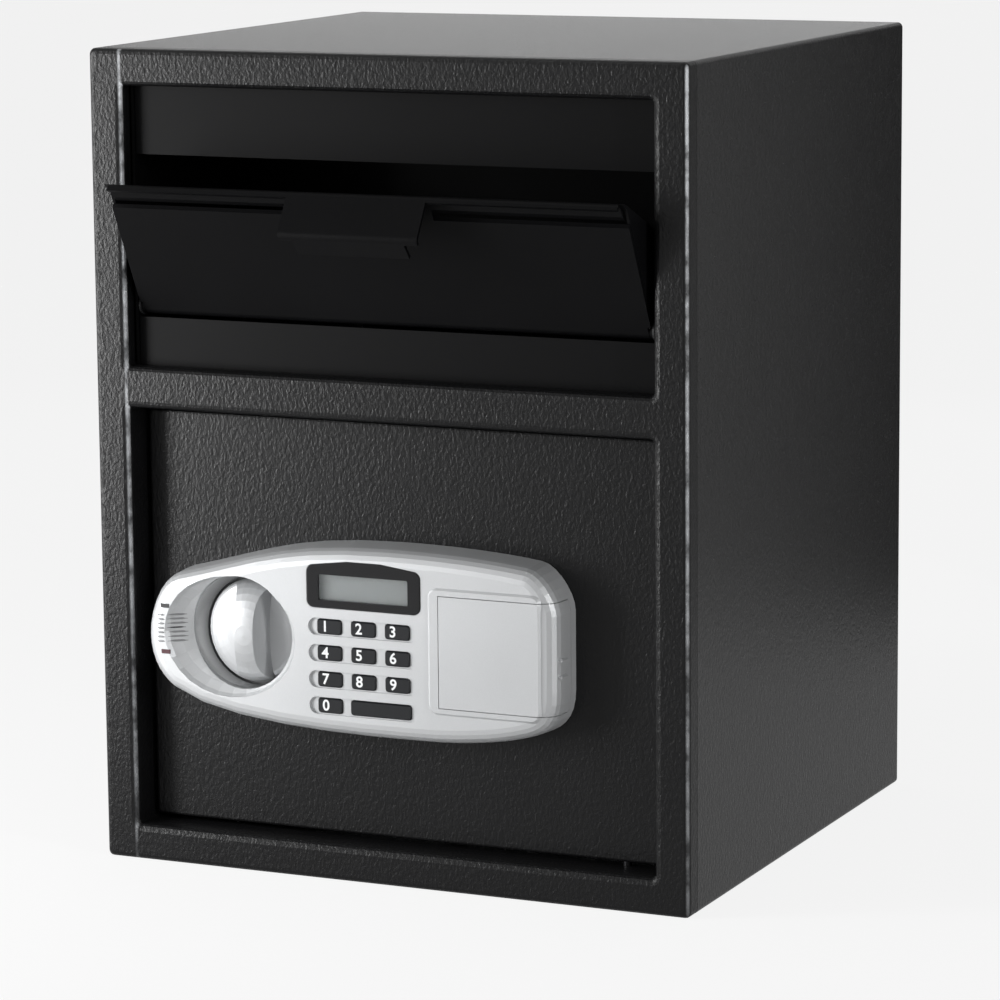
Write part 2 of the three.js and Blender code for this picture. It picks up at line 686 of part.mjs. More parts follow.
// One bent sheet: a hem curled round the rod, the front, the sloping lip, and the pull tab with its grip
function drawerPanel() {
  const turn = radians(90 + LIP_SLOPE);
  const rise = LIP_BEND * Math.tan(turn / 2) - LIP_BEND - DRAWER_SHEET / 2;
  const corner = new THREE.Vector2(PANEL_Y, DRAWER_FRONT_HEIGHT + rise);
  const slope = radians(180 + LIP_SLOPE);
  const tabEnd = new THREE.Vector2(Math.cos(slope), Math.sin(slope)).multiplyScalar(TAB_LENGTH).add(corner);
  const tuck = radians(GRIP_TUCK);
  const gripEnd = new THREE.Vector2(Math.sin(tuck), -Math.cos(tuck)).multiplyScalar(GRIP_LENGTH).add(tabEnd);
  const front = bentLine(
    [new THREE.Vector2(PANEL_Y, HEM_RADIUS), corner, tabEnd, gripEnd],
    [LIP_BEND, TAB_BEND],
  );
  const profile = ribbon([...hingeCurl(), ...front], DRAWER_SHEET);
  const sheet = sidePlate(profile, -DRAWER_HALF_WIDTH, DRAWER_HALF_WIDTH);
  const cuts = [-1, 1].flatMap((side) => {
    const span = (near, far) => [Math.min(side * near, side * far), Math.max(side * near, side * far)];
    const outside = DRAWER_HALF_WIDTH + 1;
    const shoulder = block(...span(GRIP_WIDTH / 2, outside), -2 * DRAWER_SHEET, 2 * DRAWER_SHEET,
      -2 * GRIP_LENGTH, -GRIP_SHOULDER);
    return [
      beyondLip(corner, LIP_LENGTH, GRIP_LENGTH, ...span(TAB_WIDTH / 2, outside)),
      beyondLip(corner, LIP_BEND, GRIP_LENGTH, ...span(DRAWER_HALF_WIDTH - LIP_INSET, outside)),
      shoulder.rotateX(tuck).translate(0, tabEnd.x, tabEnd.y),
      block(...span(CHEEK_INNER - SLACK, outside), -2 * HEM_RADIUS, 2 * HEM_RADIUS, -2 * HEM_RADIUS,
        HEM_RADIUS + TOUCH),
    ];
  });
  return cut(sheet, ...cuts);
}

function hingeCurl() {
  const steps = 14;
  return Array.from({ length: steps + 1 }, (_, k) => {
    const angle = Math.PI + (1 - k / steps) * radians(280);
    return new THREE.Vector2(Math.cos(angle), Math.sin(angle)).multiplyScalar(HEM_MIDDLE_RADIUS);
  });
}

function trayPoint(distance, below = 0) {
  const slope = radians(TRAY_SLOPE);
  return new THREE.Vector2(
    distance * Math.cos(slope) - below * Math.sin(slope),
    -distance * Math.sin(slope) - below * Math.cos(slope),
  );
}

// A three-sided cheek: its open edge runs from the lip down to the rear of the tray
function drawerCheek(side) {
  const frontEdge = PANEL_BACK + TOUCH;
  const topFront = DRAWER_FRONT_HEIGHT - DRAWER_SHEET;
  const outline = new THREE.Shape();
  outline.moveTo(frontEdge, topFront);
  outline.lineTo(frontEdge, HEM_RADIUS);
  outline.absarc(0, 0, HEM_RADIUS, radians(120), radians(270));
  const heel = trayPoint(TRAY_LENGTH, HEM_RADIUS);
  outline.lineTo(heel.x, heel.y);
  const back = trayPoint(TRAY_LENGTH, -CHEEK_HEEL);
  outline.lineTo(back.x, back.y);
  outline.closePath();
  const hole = new THREE.Path();
  hole.absarc(0, 0, ROD_RADIUS + SLACK, 0, Math.PI * 2, true);
  outline.holes.push(hole);
  const inner = side * CHEEK_INNER;
  const outer = side * DRAWER_HALF_WIDTH;
  return sidePlate(outline, Math.min(inner, outer), Math.max(inner, outer), 10);
}

function drawerTray() {
  const line = [trayPoint(HEM_RADIUS + TOUCH), trayPoint(TRAY_LENGTH), trayPoint(TRAY_LENGTH, TRAY_LIP)];
  const tray = ribbon(bentLine(line, [HOUSING_SHEET], 3), HOUSING_SHEET);
  return sidePlate(tray, -CHEEK_INNER + TOUCH, CHEEK_INNER - TOUCH);
}

function drawerRod() {
  const end = HOUSING_HALF_WIDTH + HOUSING_SHEET + ROD_OVERHANG;
  return rod("x", ROD_RADIUS, -end, end, 0, 0, 16);
}

place("drawer_panel", drawerPanel(), satinSteel, drawer);
place("drawer_cheek_left", drawerCheek(-1), satinSteel, drawer);
place("drawer_cheek_right", drawerCheek(1), satinSteel, drawer);
place("drawer_tray", drawerTray(), satinSteel, drawer);
place("drawer_rod", drawerRod(), plainSteel, drawer);

// Door

function pinSeat(z0, z1) {
  const reach = HINGE_PIN_RADIUS + SLACK;
  return fuse(
    rod("z", reach, z0, z1, DOOR_HINGE_X, DOOR_HINGE_Y),
    block(DOOR_HINGE_X - reach, DOOR_HINGE_X + reach, DOOR_HINGE_Y, DOOR_BACK + 1, z0, z1),
  );
}

function doorPlate() {
  const steps = 3;
  const rings = [];
  for (let k = 0; k <= steps; k += 1) {
    const turn = Math.PI / 2 * k / steps;
    const tuck = DOOR_EDGE * (1 - Math.sin(turn));
    rings.push(rectangleRing(DOOR_HALF_WIDTH - tuck, DOOR_BOTTOM + tuck, DOOR_TOP - tuck, OPENING_CORNER,
      DOOR_FACE + DOOR_EDGE * (1 - Math.cos(turn))));
  }
  rings.push(rectangleRing(DOOR_HALF_WIDTH, DOOR_BOTTOM, DOOR_TOP, OPENING_CORNER, DOOR_BACK));
  const plate = loftFrontToBack(rings);
  return cut(
    plate,
    pinSeat(DOOR_TOP - HINGE_PIN_SEAT, DOOR_TOP + 1),
    pinSeat(DOOR_BOTTOM - 1, DOOR_BOTTOM + HINGE_PIN_SEAT),
    rod("y", SPINDLE_RADIUS + 1, DOOR_FACE - 1, DOOR_BACK + 1, KNOB_WORLD.x, KNOB_WORLD.z),
    rod("y", 4, DOOR_FACE - 1, DOOR_BACK + 1, LOCK_X, LOCK_Z),
  );
}

function hingePin(top) {
  const low = top ? DOOR_TOP - HINGE_PIN_SEAT + TOUCH : DOOR_BOTTOM - DOOR_GAP - HINGE_PIN_REACH;
  const high = top ? DOOR_TOP + DOOR_GAP + HINGE_PIN_REACH : DOOR_BOTTOM + HINGE_PIN_SEAT - TOUCH;
  return rod("z", HINGE_PIN_RADIUS, low, high, DOOR_HINGE_X, DOOR_HINGE_Y, 16);
}

function hingeBracket(top) {
  const low = top ? DOOR_OPENING_TOP + BODY_SHEET + TOUCH : BOTTOM_RAIL - BODY_SHEET - TOUCH - EYE_PLATE;
  const half = EYE_SIZE / 2;
  const front = FRONT + EDGE_ROLL + BODY_SHEET + TOUCH;
  const outline = roundedRectangle(DOOR_HINGE_X - half, DOOR_HINGE_X + half, front, front + EYE_SIZE, 3);
  const hole = new THREE.Path();
  hole.absarc(DOOR_HINGE_X, DOOR_HINGE_Y, HINGE_PIN_RADIUS + SLACK, 0, Math.PI * 2, true);
  outline.holes.push(hole);
  return floorPlate(outline, low, low + EYE_PLATE, 6);
}

place("hinge_bracket_top", hingeBracket(true), plainSteel);
place("hinge_bracket_bottom", hingeBracket(false), plainSteel);
place("door_plate", doorPlate(), powderCoat);
place("door_pin_top", hingePin(true), plainSteel);
place("door_pin_bottom", hingePin(false), plainSteel);

// Bolt work on the back of the door, drawn back as it is when the safe is unlocked

const BOLT_TIP = -DOOR_HALF_WIDTH + BOLT_RETRACT;
const BOLT_TAIL = BOLT_TIP + BOLT_LENGTH;
const BOLT_HEIGHTS = [KNOB_WORLD.z - BOLT_SPACING / 2, KNOB_WORLD.z + BOLT_SPACING / 2];
const WEB_Y = BOLT_Y + BOLT_RADIUS + 5;
const CRANK_X = KNOB_WORLD.x + CRANK_RADIUS * Math.sin(radians(CRANK_ANGLE));
const CRANK_LOW = CRANK_RADIUS * Math.cos(radians(CRANK_ANGLE));

// The plunger rises on either side of a stop on the carriage, which passes over it as the bolts are thrown
const SOLENOID_X = BOLT_TAIL + CARRIAGE_PLATE + 2 * PLUNGER_SLACK + PLUNGER_RADIUS;
const STOP_X = SOLENOID_X + PLUNGER_RADIUS + PLUNGER_SLACK;
const STOP_LENGTH = BOLT_STROKE - 2 * (PLUNGER_RADIUS + PLUNGER_SLACK);
const PLUNGER_TOP = BOLT_HEIGHTS[0] - BOLT_RADIUS - TOUCH;
const SOLENOID_TOP = PLUNGER_TOP - SOLENOID_TOP_GAP;

function bolt(height) {
  const profile = [
    [0, BOLT_TAIL],
    [BOLT_RADIUS, BOLT_TAIL],
    [BOLT_RADIUS, BOLT_TIP + BOLT_CHAMFER],
    [BOLT_RADIUS - BOLT_CHAMFER, BOLT_TIP],
    [0, BOLT_TIP],
  ].map(([radius, x]) => new THREE.Vector2(radius, -x));
  return new THREE.LatheGeometry(profile, 28).rotateZ(Math.PI / 2).translate(0, BOLT_Y, height);
}

function boltGuide() {
  const x = -DOOR_HALF_WIDTH + GUIDE_INSET;
  const reach = BOLT_RADIUS + GUIDE_MARGIN;
  const back = BOLT_Y + reach;
  const low = BOLT_HEIGHTS[0] - reach;
  const high = BOLT_HEIGHTS[1] + reach;
  const upright = block(x, x + GUIDE_PLATE, DOOR_BACK + TOUCH, back, low, high);
  const bores = BOLT_HEIGHTS.map((height) => rod("x", BOLT_RADIUS + SLACK, x - 1, x + GUIDE_PLATE + 1,
    BOLT_Y, height, 28));
  return cut(upright, ...bores);
}

function boltCarriage() {
  const x = BOLT_TAIL + TOUCH;
  const low = BOLT_HEIGHTS[0] - BOLT_RADIUS;
  const high = BOLT_HEIGHTS[1] + BOLT_RADIUS;
  const back = WEB_Y + CARRIAGE_PLATE;
  const flange = block(x, x + CARRIAGE_PLATE, BOLT_Y - BOLT_RADIUS, back, low, high);
  const webLow = KNOB_WORLD.z + SPINDLE_RADIUS + 2 * TOUCH;
  const webHigh = KNOB_WORLD.z + CRANK_RADIUS + 4 * CRANK_PIN_RADIUS;
  const webEnd = CRANK_X + 5 * CRANK_PIN_RADIUS;
  const web = block(x, webEnd, WEB_Y, back, webLow, webHigh);
  const armLow = low + PLUNGER_TRAVEL + CARRIAGE_PLATE;
  const arm = block(x, STOP_X + STOP_LENGTH, BOLT_Y - 5, BOLT_Y + 5, armLow, armLow + CARRIAGE_PLATE);
  const stop = block(STOP_X, STOP_X + STOP_LENGTH, BOLT_Y - 5, BOLT_Y + 5, low, armLow + 1);
  const half = CRANK_PIN_RADIUS + CRANK_SLOT_SLACK;
  const slotOutline = roundedRectangle(CRANK_X - half, CRANK_X + half,
    KNOB_WORLD.z + CRANK_LOW - half, KNOB_WORLD.z + CRANK_RADIUS + half, half * 0.95);
  const slot = frontPlate(slotOutline, WEB_Y - 1, back + 1, 5);
  return cut(fuse(flange, web, arm, stop), slot);
}

// The spindle's crank sits behind the carriage and its pin reaches forward into the carriage's slot
function knobSpindle() {
  const front = LOCK_BACK - KNOB_BASE - KNOB_SOCKET;
  const crankFront = WEB_Y + CARRIAGE_PLATE + 1;
  const crankBack = crankFront + CRANK_PLATE;
  const shaft = rod("y", SPINDLE_RADIUS, front, crankBack, KNOB_WORLD.x, KNOB_WORLD.z);
  const pinZ = KNOB_WORLD.z + CRANK_LOW;
  const pin = rod("y", CRANK_PIN_RADIUS, WEB_Y - 1, crankBack - 0.5, CRANK_X, pinZ, 14);
  const arm = new THREE.Shape();
  const tip = SPINDLE_RADIUS * 0.8;
  arm.absarc(0, 0, SPINDLE_RADIUS + 2, Math.PI, Math.PI * 2);
  arm.lineTo(tip, CRANK_RADIUS);
  arm.absarc(0, CRANK_RADIUS, tip, 0, Math.PI);
  arm.closePath();
  const crank = frontPlate(arm, crankFront, crankBack)
    .translate(0, -crankFront, 0)
    .rotateY(radians(CRANK_ANGLE))
    .translate(KNOB_WORLD.x, crankFront, KNOB_WORLD.z);
  return fuse(shaft, crank, pin);
}

function solenoidBody() {
  const half = SOLENOID_SIZE / 2;
  const outline = roundedRectangle(SOLENOID_X - half, SOLENOID_X + half,
    SOLENOID_TOP - SOLENOID_HEIGHT, SOLENOID_TOP, 2);
  const can = frontPlate(outline, DOOR_BACK + TOUCH, DOOR_BACK + TOUCH + SOLENOID_SIZE, 3);
  const bore = rod("z", PLUNGER_RADIUS + SLACK, PLUNGER_TOP - PLUNGER_LENGTH - 2 * TOUCH, SOLENOID_TOP + 1,
    SOLENOID_X, BOLT_Y, 20);
  return cut(can, bore);
}

function solenoidPlunger() {
  return rod("z", PLUNGER_RADIUS, PLUNGER_TOP - PLUNGER_LENGTH, PLUNGER_TOP, SOLENOID_X, BOLT_Y, 20);
}

function boltBoxCover() {
  const x0 = -DOOR_HALF_WIDTH + INNER_COVER_LEFT;
  const x1 = x0 + INNER_COVER_WIDTH;
  const z0 = SOLENOID_TOP - SOLENOID_HEIGHT - INNER_COVER_MARGIN;
  const z1 = 2 * KNOB_WORLD.z - z0;
  const y0 = DOOR_BACK + TOUCH;
  const y1 = y0 + INNER_COVER_DEPTH;
  const skin = INNER_COVER_SHEET;
  const corner = INNER_COVER_CORNER;
  const outer = frontPlate(roundedRectangle(x0, x1, z0, z1, corner), y0, y1, 3);
  const hollow = roundedRectangle(x0 + skin, x1 - skin, z0 + skin, z1 - skin, corner - skin);
  const inner = frontPlate(hollow, y0 - 1, y1 - skin, 3);
  const reach = BOLT_RADIUS + 1;
  const notches = BOLT_HEIGHTS.flatMap((height) => [
    rod("x", reach, x0 - 1, x0 + COVER_NOTCH, BOLT_Y, height, 20),
    block(x0 - 1, x0 + COVER_NOTCH, y0 - 1, BOLT_Y, height - reach, height + reach),
  ]);
  return cut(outer, inner, ...notches);
}

place("bolt_guide", boltGuide(), plainSteel);
place("bolt_lower", bolt(BOLT_HEIGHTS[0]), plainSteel);
place("bolt_upper", bolt(BOLT_HEIGHTS[1]), plainSteel);
place("bolt_carriage", boltCarriage(), plainSteel);
place("knob_spindle", knobSpindle(), plainSteel);
place("solenoid_body", solenoidBody(), blackPlastic);
place("solenoid_plunger", solenoidPlunger(), plainSteel);
place("bolt_box_cover", boltBoxCover(), powderCoat);

// Lock unit: drawn with its centre at X and Z zero and its back at Y zero, the front towards -Y

const lock = new THREE.Group();
lock.position.set(LOCK_X, LOCK_BACK, LOCK_Z);
safe.add(lock);

const FACE = -LOCK_HEIGHT;

// A long oval, blunt on the left and cut off on the right between two round corners
function lockOutline() {
  const [left, right, top, bottom] = [-LOCK_LEFT, LOCK_RIGHT, LOCK_TOP, -LOCK_BOTTOM];
  const shape = new THREE.Shape();
  shape.moveTo(left, -LOCK_TIP_DROP);
  shape.bezierCurveTo(left, bottom * 0.37, left * 0.953, bottom * 0.56, left * 0.88, bottom * 0.673);
  shape.bezierCurveTo(left * 0.633, bottom * 1.053, right * 0.19, bottom, right * 0.33, bottom);
  shape.bezierCurveTo(right * 0.52, bottom, right * 0.726, bottom * 0.945, right * 0.857, bottom * 0.85);
  shape.bezierCurveTo(right * 0.947, bottom * 0.785, right, bottom * 0.67, right, bottom * 0.38);
  shape.lineTo(right, top * 0.42);
  shape.bezierCurveTo(right, top * 0.594, right * 0.916, top * 0.885, right * 0.843, top * 0.91);
  shape.bezierCurveTo(right * 0.713, top * 0.954, right * 0.48, top, right * 0.175, top);
  shape.bezierCurveTo(left * 0.354, top, left * 0.486, top * 0.794, left * 0.839, top * 0.583);
  shape.bezierCurveTo(left * 0.942, top * 0.521, left, top * 0.152, left, -LOCK_TIP_DROP);
  return shape;
}

const LOCK_OUTLINE = outlinePoints(lockOutline(), 7);

// The unit's outer form, or the space that a wall of the given thickness leaves inside it
function lockBody(wall = 0) {
  const steps = 5;
  const round = LOCK_ROUND - 1.5 * wall;
  const rings = [];
  for (let k = 0; k <= steps; k += 1) {
    const turn = Math.PI / 2 * k / steps;
    const inset = wall + LOCK_DRAFT + round * (1 - Math.sin(turn));
    const y = FACE + wall + (LOCK_HEIGHT - LOCK_SIDE - wall) * (1 - Math.cos(turn));
    rings.push({ outline: offsetOutline(LOCK_OUTLINE, -inset), y });
  }
  rings.push({ outline: offsetOutline(LOCK_OUTLINE, -wall), y: wall > 0 ? 1 : 0 });
  return loftFrontToBack(rings);
}

function bayPad() {
  const right = LOCK_RIGHT - LOCK_DRAFT - LOCK_ROUND;
  const shape = roundedRectangle(BAY_LEFT - PAD_LEFT_MARGIN, right, COVER_BOTTOM - PAD_BOTTOM_MARGIN,
    COVER_TOP + PAD_TOP_MARGIN, PAD_CORNER);
  const outline = outlinePoints(shape, 3);
  return loftFrontToBack([
    { outline: offsetOutline(outline, -PAD_HEIGHT * 1.4), y: FACE - PAD_HEIGHT },
    { outline, y: FACE + PAD_HEIGHT * 0.4 },
    { outline, y: FACE + LOCK_WALL / 2 },
  ]);
}

function coverZone(grow) {
  return block(BAY_LEFT - grow, LOCK_RIGHT + 5, FACE - 5, -COVER_SKIRT + grow,
    COVER_BOTTOM - grow, COVER_TOP + grow);
}

function ellipsoid(x, y, z, radiusX, radiusY, radiusZ) {
  return new THREE.SphereGeometry(1, 28, 14).scale(radiusX, radiusY, radiusZ).translate(x, y, z);
}

// The steeper inner slope of the bowl, which falls to the gap round the knob
function knobApproach() {
  const ring = (radius, x, z, depth) => ({
    outline: outlinePoints(new THREE.Shape().absarc(x, z, radius, 0, Math.PI * 2), 20),
    y: FACE + depth,
  });
  return loftFrontToBack([
    ring(WELL_RADIUS, WELL_X, WELL_Z, -1),
    ring(WELL_RADIUS, WELL_X, WELL_Z, WELL_TOP),
    ring(KNOB_RADIUS + KNOB_CLEARANCE, KNOB_X, KNOB_Z, WELL_DEPTH),
  ]);
}

function lockHousing() {
  const shell = fuse(lockBody(), bayPad());
  const cavity = common(
    lockBody(LOCK_WALL),
    block(-CAVITY_LEFT, CAVITY_RIGHT, FACE, 2, -LOCK_BOTTOM, LOCK_TOP),
  );
  const bay = block(BAY_LEFT + COVER_SHEET, LOCK_RIGHT - LOCK_WALL, FACE - 5, -LOCK_WALL,
    COVER_BOTTOM + COVER_SHEET, COVER_TOP - COVER_SHEET);
  const hollow = cut(shell, cavity, coverZone(COVER_SEAM), bay);
  const bowlLift = BOWL_DEPTH * 0.45;
  const spread = 1 / Math.sqrt(1 - (bowlLift / (BOWL_DEPTH + bowlLift)) ** 2);
  const bowl = ellipsoid(BOWL_X, FACE - bowlLift, BOWL_Z, BOWL_HALF_WIDTH * spread, BOWL_DEPTH + bowlLift,
    BOWL_HALF_HEIGHT * spread);
  const wellTop = FACE + WELL_DEPTH - 1;
  const well = rod("y", KNOB_RADIUS + KNOB_CLEARANCE, wellTop, -KNOB_BASE + TOUCH, KNOB_X, KNOB_Z, 40);
  const sweep = knobDome(KNOB_RIM + 1, LOCK_HEIGHT + KNOB_RISE + 1, KNOB_RADIUS + 1);
  const spindleHole = rod("y", SPINDLE_RADIUS + SLACK, FACE, 1, KNOB_X, KNOB_Z, 28);
  const bowled = cut(hollow, bowl, knobApproach(), well, sweep, spindleHole);
  const windowHole = frontPlate(windowShape(SLACK), FACE - 1, FACE + LOCK_WALL + 1, 1);
  const bezelSeat = frontPlate(bezelShape(SLACK), FACE - 1, FACE + BEZEL_SEAT, 3);
  const pills = KEY_ROWS.map((z) => frontPlate(pillShape(z), FACE - 1, FACE + PILL_DEPTH, 3));
  const holes = keyList().map((key) => frontPlate(keyShape(key, SLACK), FACE - 1, FACE + LOCK_WALL + 1, 1));
  const faced = cut(bowled, windowHole, bezelSeat, ...pills, ...holes);
  return fuse(faced, ...boardPosts());
}

function boardPosts() {
  const rows = [-LOCK_BOTTOM * 0.72, LOCK_TOP * 0.78];
  const columns = [POST_RADIUS + 0.5 - CAVITY_LEFT, CAVITY_RIGHT - POST_RADIUS - 0.5];
  return columns.flatMap((x) => rows.map((z) => rod("y", POST_RADIUS, FACE + LOCK_WALL - 0.5,
    BOARD_FRONT - TOUCH, x, z, 12)));
}

const KEY_BACK = FACE + KEY_BELOW_FACE + KEY_HEIGHT;
const MAT_FRONT = KEY_BACK + KEY_TRAVEL + TOUCH;
const BOARD_FRONT = MAT_FRONT + KEY_MAT + TOUCH;

function windowShape(grow) {
  const halfWidth = WINDOW_WIDTH / 2 + grow;
  const z = DISPLAY_Z + WINDOW_DROP;
  const halfHeight = WINDOW_HEIGHT / 2 + grow;
  return roundedRectangle(DISPLAY_X - halfWidth, DISPLAY_X + halfWidth, z - halfHeight, z + halfHeight, 0.8);
}

// Flat below, gently arched above
function bezelShape(grow) {
  const x0 = DISPLAY_X - BEZEL_WIDTH / 2 - grow;
  const x1 = DISPLAY_X + BEZEL_WIDTH / 2 + grow;
  const z0 = DISPLAY_Z - BEZEL_HEIGHT / 2 - grow;
  const z1 = DISPLAY_Z + BEZEL_HEIGHT / 2 + grow;
  const r = BEZEL_CORNER + grow;
  const shape = new THREE.Shape();
  shape.moveTo(x0 + r, z0);
  shape.lineTo(x1 - r, z0);
  shape.absarc(x1 - r, z0 + r, r, -Math.PI / 2, 0);
  shape.lineTo(x1, z1 - r);
  shape.absarc(x1 - r, z1 - r, r, 0, Math.PI * 0.45);
  shape.quadraticCurveTo(DISPLAY_X, z1 + 2 * BEZEL_ARCH, x0 + r * (1 - Math.cos(Math.PI * 0.45)),
    z1 - r * (1 - Math.sin(Math.PI * 0.45)));
  shape.absarc(x0 + r, z1 - r, r, Math.PI * 0.55, Math.PI);
  shape.lineTo(x0, z0 + r);
  shape.absarc(x0 + r, z0 + r, r, Math.PI, Math.PI * 1.5);
  return shape;
}

function pillShape(z) {
  const half = PILL_WIDTH / 2;
  const centre = KEY_COLUMNS[1];
  return roundedRectangle(centre - half, centre + half, z - PILL_HEIGHT / 2, z + PILL_HEIGHT / 2,
    PILL_HEIGHT / 2 - 0.05);
}

function keyList() {
  const digits = [1, 2, 3, 4, 5, 6, 7, 8, 9].map((digit, i) => ({
    name: `key_${digit}`,
    x: KEY_COLUMNS[i % 3],
    z: KEY_ROWS[Math.floor(i / 3)],
    width: KEY_WIDTH,
  }));
  const lastRow = KEY_ROWS.at(-1);
  const enterX = (KEY_COLUMNS[1] + KEY_COLUMNS[2]) / 2;
  return [
    ...digits,
    { name: "key_0", x: KEY_COLUMNS[0], z: lastRow, width: KEY_WIDTH },
    { name: "key_enter", x: enterX, z: lastRow, width: ENTER_WIDTH },
  ];
}

function keyShape(key, grow) {
  const halfWidth = key.width / 2 + grow;
  const halfDepth = KEY_DEPTH / 2 + grow;
  return roundedRectangle(key.x - halfWidth, key.x + halfWidth, key.z - halfDepth, key.z + halfDepth,
    KEY_CORNER + grow);
}

// The cap has a softened edge, and a flange behind the housing's wall keeps it in its hole
function keyCap(key) {
  const outline = outlinePoints(keyShape(key, 0), 1);
  const top = FACE + KEY_BELOW_FACE;
  const wallBack = FACE + LOCK_WALL + SLACK;
  const cap = loftFrontToBack([
    { outline: offsetOutline(outline, -0.5), y: top },
    { outline, y: top + 0.6 },
    { outline, y: KEY_BACK },
  ]);
  const flange = frontPlate(keyShape(key, KEY_FLANGE), wallBack, KEY_BACK, 1);
  return fuse(cap, flange);
}

// A full turn of a rim rising to its middle height in an even curve
function knobDome(rim, middle, radius = KNOB_RADIUS) {
  const curve = new THREE.QuadraticBezierCurve(
    new THREE.Vector2(radius, rim),
    new THREE.Vector2(radius - 0.36 * (middle - rim), middle),
    new THREE.Vector2(0.001, middle),
  );
  const profile = [
    new THREE.Vector2(0, KNOB_BASE),
    new THREE.Vector2(radius - 1, KNOB_BASE),
    new THREE.Vector2(radius, KNOB_BASE + 1),
    ...curve.getPoints(8).slice(0, -1),
    new THREE.Vector2(0, middle),
  ];
  return new THREE.LatheGeometry(profile, 40).rotateX(Math.PI).translate(KNOB_X, 0, KNOB_Z);
}

// A round plate with a domed bar across it, whose two hollow sides spread towards the plate
function knob() {
  const crest = LOCK_HEIGHT + KNOB_RISE;
  const waist = (crest + KNOB_FLOOR) / 2;
  const bar = new THREE.Shape();
  bar.moveTo(KNOB_X - KNOB_FOOT, -KNOB_RIM);
  bar.lineTo(KNOB_X + KNOB_FOOT, -KNOB_RIM);
  bar.quadraticCurveTo(KNOB_X + KNOB_WAIST, -waist, KNOB_X + KNOB_WAIST, -crest - 1);
  bar.lineTo(KNOB_X - KNOB_WAIST, -crest - 1);
  bar.quadraticCurveTo(KNOB_X - KNOB_WAIST, -waist, KNOB_X - KNOB_FOOT, -KNOB_RIM);
  const slab = floorPlate(bar, KNOB_Z - KNOB_RADIUS - 1, KNOB_Z + KNOB_RADIUS + 1);
  const grip = common(knobDome(KNOB_RIM, crest), slab);
  const socket = rod("y", SPINDLE_RADIUS + SLACK, -KNOB_BASE - KNOB_SOCKET - TOUCH, 0, KNOB_X, KNOB_Z);
  return cut(fuse(knobDome(KNOB_RIM, KNOB_FLOOR), grip), socket);
}

function displayBezel() {
  const outline = outlinePoints(bezelShape(0), 3);
  const back = FACE + BEZEL_SEAT - TOUCH;
  const frame = loftFrontToBack([
    { outline: offsetOutline(outline, -0.6), y: FACE - BEZEL_PROUD },
    { outline, y: FACE - BEZEL_PROUD + 0.5 },
    { outline, y: back },
  ]);
  return cut(frame, frontPlate(windowShape(0), FACE - 2, back + 1, 1));
}

function displayWindow() {
  const front = FACE + BEZEL_SEAT;
  return frontPlate(windowShape(0), front, front + WINDOW_GLASS, 1);
}

function displayPanel() {
  const front = FACE + LOCK_WALL + TOUCH;
  return frontPlate(windowShape(1.5), front, front + DISPLAY_GLASS, 2);
}

function keyMat() {
  const reach = KEY_WIDTH / 2 + KEY_FLANGE;
  const outline = roundedRectangle(KEY_COLUMNS[0] - reach, KEY_COLUMNS[2] + reach,
    KEY_ROWS[3] - KEY_DEPTH, KEY_ROWS[0] + KEY_DEPTH, KEY_MAT_CORNER);
  return frontPlate(outline, MAT_FRONT, MAT_FRONT + KEY_MAT, 3);
}

function circuitBoard() {
  const outline = roundedRectangle(-CAVITY_LEFT + 1, CAVITY_RIGHT - 1,
    -LOCK_BOTTOM * 0.8, LOCK_TOP * 0.86, KEY_MAT_CORNER);
  return frontPlate(outline, BOARD_FRONT, BOARD_FRONT + BOARD, 3);
}

// Battery bay

const BAY_FLOOR = -LOCK_WALL - TOUCH;
const BAY_MIDDLE = (COVER_BOTTOM + COVER_TOP) / 2;
const CELL_Y = BAY_FLOOR - TRAY_FLOOR - CELL_RADIUS - TOUCH;
const CELL_PITCH = 2 * CELL_RADIUS + TOUCH;
const BAY_RIGHT = LOCK_RIGHT - LOCK_WALL - BAY_CORNER_ROOM;
const BAY_CENTRE = (BAY_LEFT + COVER_SHEET + BAY_RIGHT) / 2;

function cellX(i) {
  return BAY_CENTRE + (i - (CELL_COUNT - 1) / 2) * CELL_PITCH;
}

function batteryTray() {
  const halfWidth = (BAY_RIGHT - BAY_LEFT - COVER_SHEET) / 2 - TOUCH;
  const inside = CELL_LENGTH / 2 + CELL_END_GAP;
  const halfHeight = inside + TRAY_WALL;
  const body = block(BAY_CENTRE - halfWidth, BAY_CENTRE + halfWidth, CELL_Y, BAY_FLOOR,
    BAY_MIDDLE - halfHeight, BAY_MIDDLE + halfHeight);
  const troughs = Array.from({ length: CELL_COUNT }, (_, i) => rod("z", CELL_RADIUS + TOUCH,
    BAY_MIDDLE - inside, BAY_MIDDLE + inside, cellX(i), CELL_Y, 20));
  return cut(body, ...troughs);
}

function batteryCell(i) {
  const half = CELL_LENGTH / 2;
  const profile = [
    [0, -half],
    [CELL_RADIUS - 0.5, -half],
    [CELL_RADIUS, -half + 0.5],
    [CELL_RADIUS, half - CELL_NUB - 0.5],
    [CELL_RADIUS - 0.5, half - CELL_NUB],
    [2.75, half - CELL_NUB],
    [2.75, half],
    [0, half],
  ].map(([radius, height]) => new THREE.Vector2(radius, height));
  const flip = i % 2 === 0 ? 1 : -1;
  return new THREE.LatheGeometry(profile, 16)
    .rotateX(flip * Math.PI / 2)
    .translate(cellX(i), CELL_Y, BAY_MIDDLE);
}

// The cover is the housing's own skin, cut out by the same zone, with a skirt down its right side
function batteryCover() {
  const skin = common(fuse(lockBody(), bayPad()), coverZone(0));
  return cut(skin, lockBody(COVER_SHEET));
}

